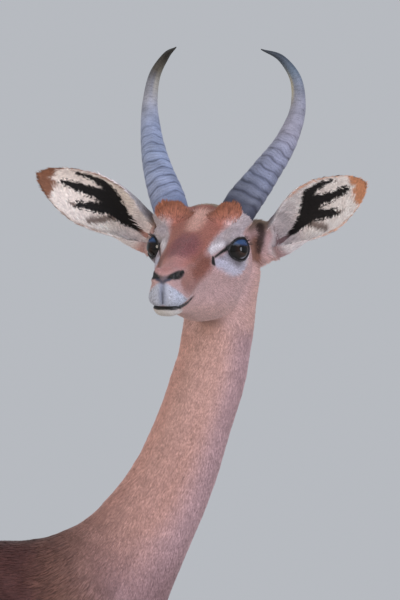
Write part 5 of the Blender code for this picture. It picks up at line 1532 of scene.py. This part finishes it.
tailBrush = {"count": 4200, "length": 0.070, "width": 0.0013, "from": 0.42, "to": 0.98, "spread": 0.16,
             "lowest": 0.634}
tailMaterial, tree = newMaterial("coarse_black_tail_hair")  # long stiff hair with a brown-black silk
toned, _ = streakedTint(tree, "coatColour", {"Scale": 300.0, "Detail": 2.0}, 0.8, 1.2)
finishMaterial(tree, {"Roughness": 0.42, "Specular IOR Level": 0.4}, {"Base Color": toned})
chance = np.random.default_rng(123)
count = tailBrush["count"]
reach = chance.uniform(tailBrush["from"], tailBrush["to"], count)
rowsAt = np.linspace(0, 1, len(tailRows))
core = np.stack([np.interp(reach, rowsAt, tailRows[:, k]) for k in range(4)], axis=1)
turn = chance.uniform(0, 2 * math.pi, count)
out = np.stack([np.cos(turn), np.sin(turn), 0 * turn], axis=1)
roots = core[:, :3] + out * core[:, 3:4] * 0.5 + bodyShift
lies = np.array([0.0, 0.0, -1.0]) + out * tailBrush["spread"] * (1.2 - reach)[:, None]
lengths = np.minimum(tailBrush["length"] * chance.uniform(0.7, 1.1, count),
                     roots[:, 2] - tailBrush["lowest"])
colours = linear(coat["tail"]) * np.exp(chance.normal(0, 0.25, (count, 1)))
spots = np.stack([0.02 + 0.96 * (roots[:, 2] - 0.70) / 0.19, 0.5 + (turn / math.pi - 1) * 0.48], axis=1)
tuftPiece("tail_brush", roots, out, lies, lengths, tailBrush["width"], colours, np.clip(spots, 0.01, 0.99),
          tailMaterial, rings=3, rise=0.10, bend=0.9)

lash = {"count": 46, "length": 0.0060, "width": 0.00045, "colour": "#120e0e"}
roots, normals, lies = [], [], []
chance = np.random.default_rng(124)
for side, _ in bothSides:
    centre, look, along, up = eyeAxes(side)
    turn = chance.uniform(0.35, 2.75, lash["count"])
    _, at = lidEdge(side, turn, eye["radius"] + 0.001)
    roots.append(toWorld(centre + at))
    normals.append(unit(at * 0.3 + look) @ headAxes)
    lies.append((np.cos(turn)[:, None] * along + (np.sin(turn) * 0.8)[:, None] * up + 0.9 * look) @ headAxes)
roots, normals, lies = np.concatenate(roots), np.concatenate(normals), np.concatenate(lies)
tuftPiece("eyelashes", roots, unit(np.cross(lies, np.cross(normals, lies))), lies,
          lash["length"] * chance.uniform(0.6, 1.1, len(roots)), lash["width"],
          np.tile(linear(lash["colour"]), (len(roots), 1)), aroundHead(roots, normals), tailMaterial,
          rings=2, rise=-0.15, bend=0.2)

stageSet = {
    "floor": ("#d9d6d0", "#d3d0ca"),
    "floorSize": 9.0,
    "sky": "#dfe3ea",
    "skyStrength": 0.64,
    "cameraFrom": (0.004, -8.0, -0.0541),  # from between the eyes, the lens at the photo's height
    "viewHeight": 0.63,
    "lamps": {  # place, size, power, colour
        "warm_left": ((-2.8, -2.8, 1.7), 1.6, 68, "#fff0e2"),
        "cool_top": ((0.8, -1.8, 3.3), 2.0, 20, "#e6eeff"),
        "fill_right": ((3.3, -2.6, 1.4), 2.2, 86, "#f2f1ff"),
    },
}
floorMaterial, tree = newMaterial("matt_painted_floor")
grain = addNode(tree, "ShaderNodeTexNoise", {"Scale": 40.0, "Detail": 4.0})
palest, darkest = [(*linear(code), 1) for code in stageSet["floor"]]
shade = addNode(tree, "ShaderNodeMixRGB", {"Color1": palest, "Color2": darkest},
                {"Fac": grain.outputs["Fac"]})
finishMaterial(tree, {"Roughness": 0.8}, {"Base Color": shade.outputs["Color"]})
reach = stageSet["floorSize"]
corners = [(-reach, -reach, 0), (reach, -reach, 0), (reach, reach, 0), (-reach, reach, 0)]
floor = newObject("floor", corners, [(0, 1, 2, 3)], floorMaterial)

world = bpy.data.worlds.new("studio")
scene.world = world
world.use_nodes = True
world.node_tree.nodes["Background"].inputs["Color"].default_value = (*linear(stageSet["sky"]), 1)
world.node_tree.nodes["Background"].inputs["Strength"].default_value = stageSet["skyStrength"]
scene.view_settings.view_transform = "Standard"
for name, (place, size, power, colour) in stageSet["lamps"].items():
    lamp = bpy.data.lights.new(name, "AREA")
    lamp.shape = "DISK"
    lamp.size = size
    lamp.energy = power
    lamp.color = linear(colour)
    made = bpy.data.objects.new(name, lamp)
    made.location = place
    made.rotation_euler = (Vector((0.3, 0.0, 1.2)) - Vector(place)).to_track_quat("-Z", "Y").to_euler()
    scene.collection.objects.link(made)

lens = bpy.data.cameras.new("camera")
camera = bpy.data.objects.new("camera", lens)
scene.collection.objects.link(camera)
scene.camera = camera
camera.location = eyeMiddle + np.array(stageSet["cameraFrom"])
camera.rotation_euler = (math.radians(90), 0, 0)
lens.sensor_width = 36.0
lens.lens = lens.sensor_width * -stageSet["cameraFrom"][1] / stageSet["viewHeight"]
lens.clip_end = 100.0
print("floor, lamps and camera set")
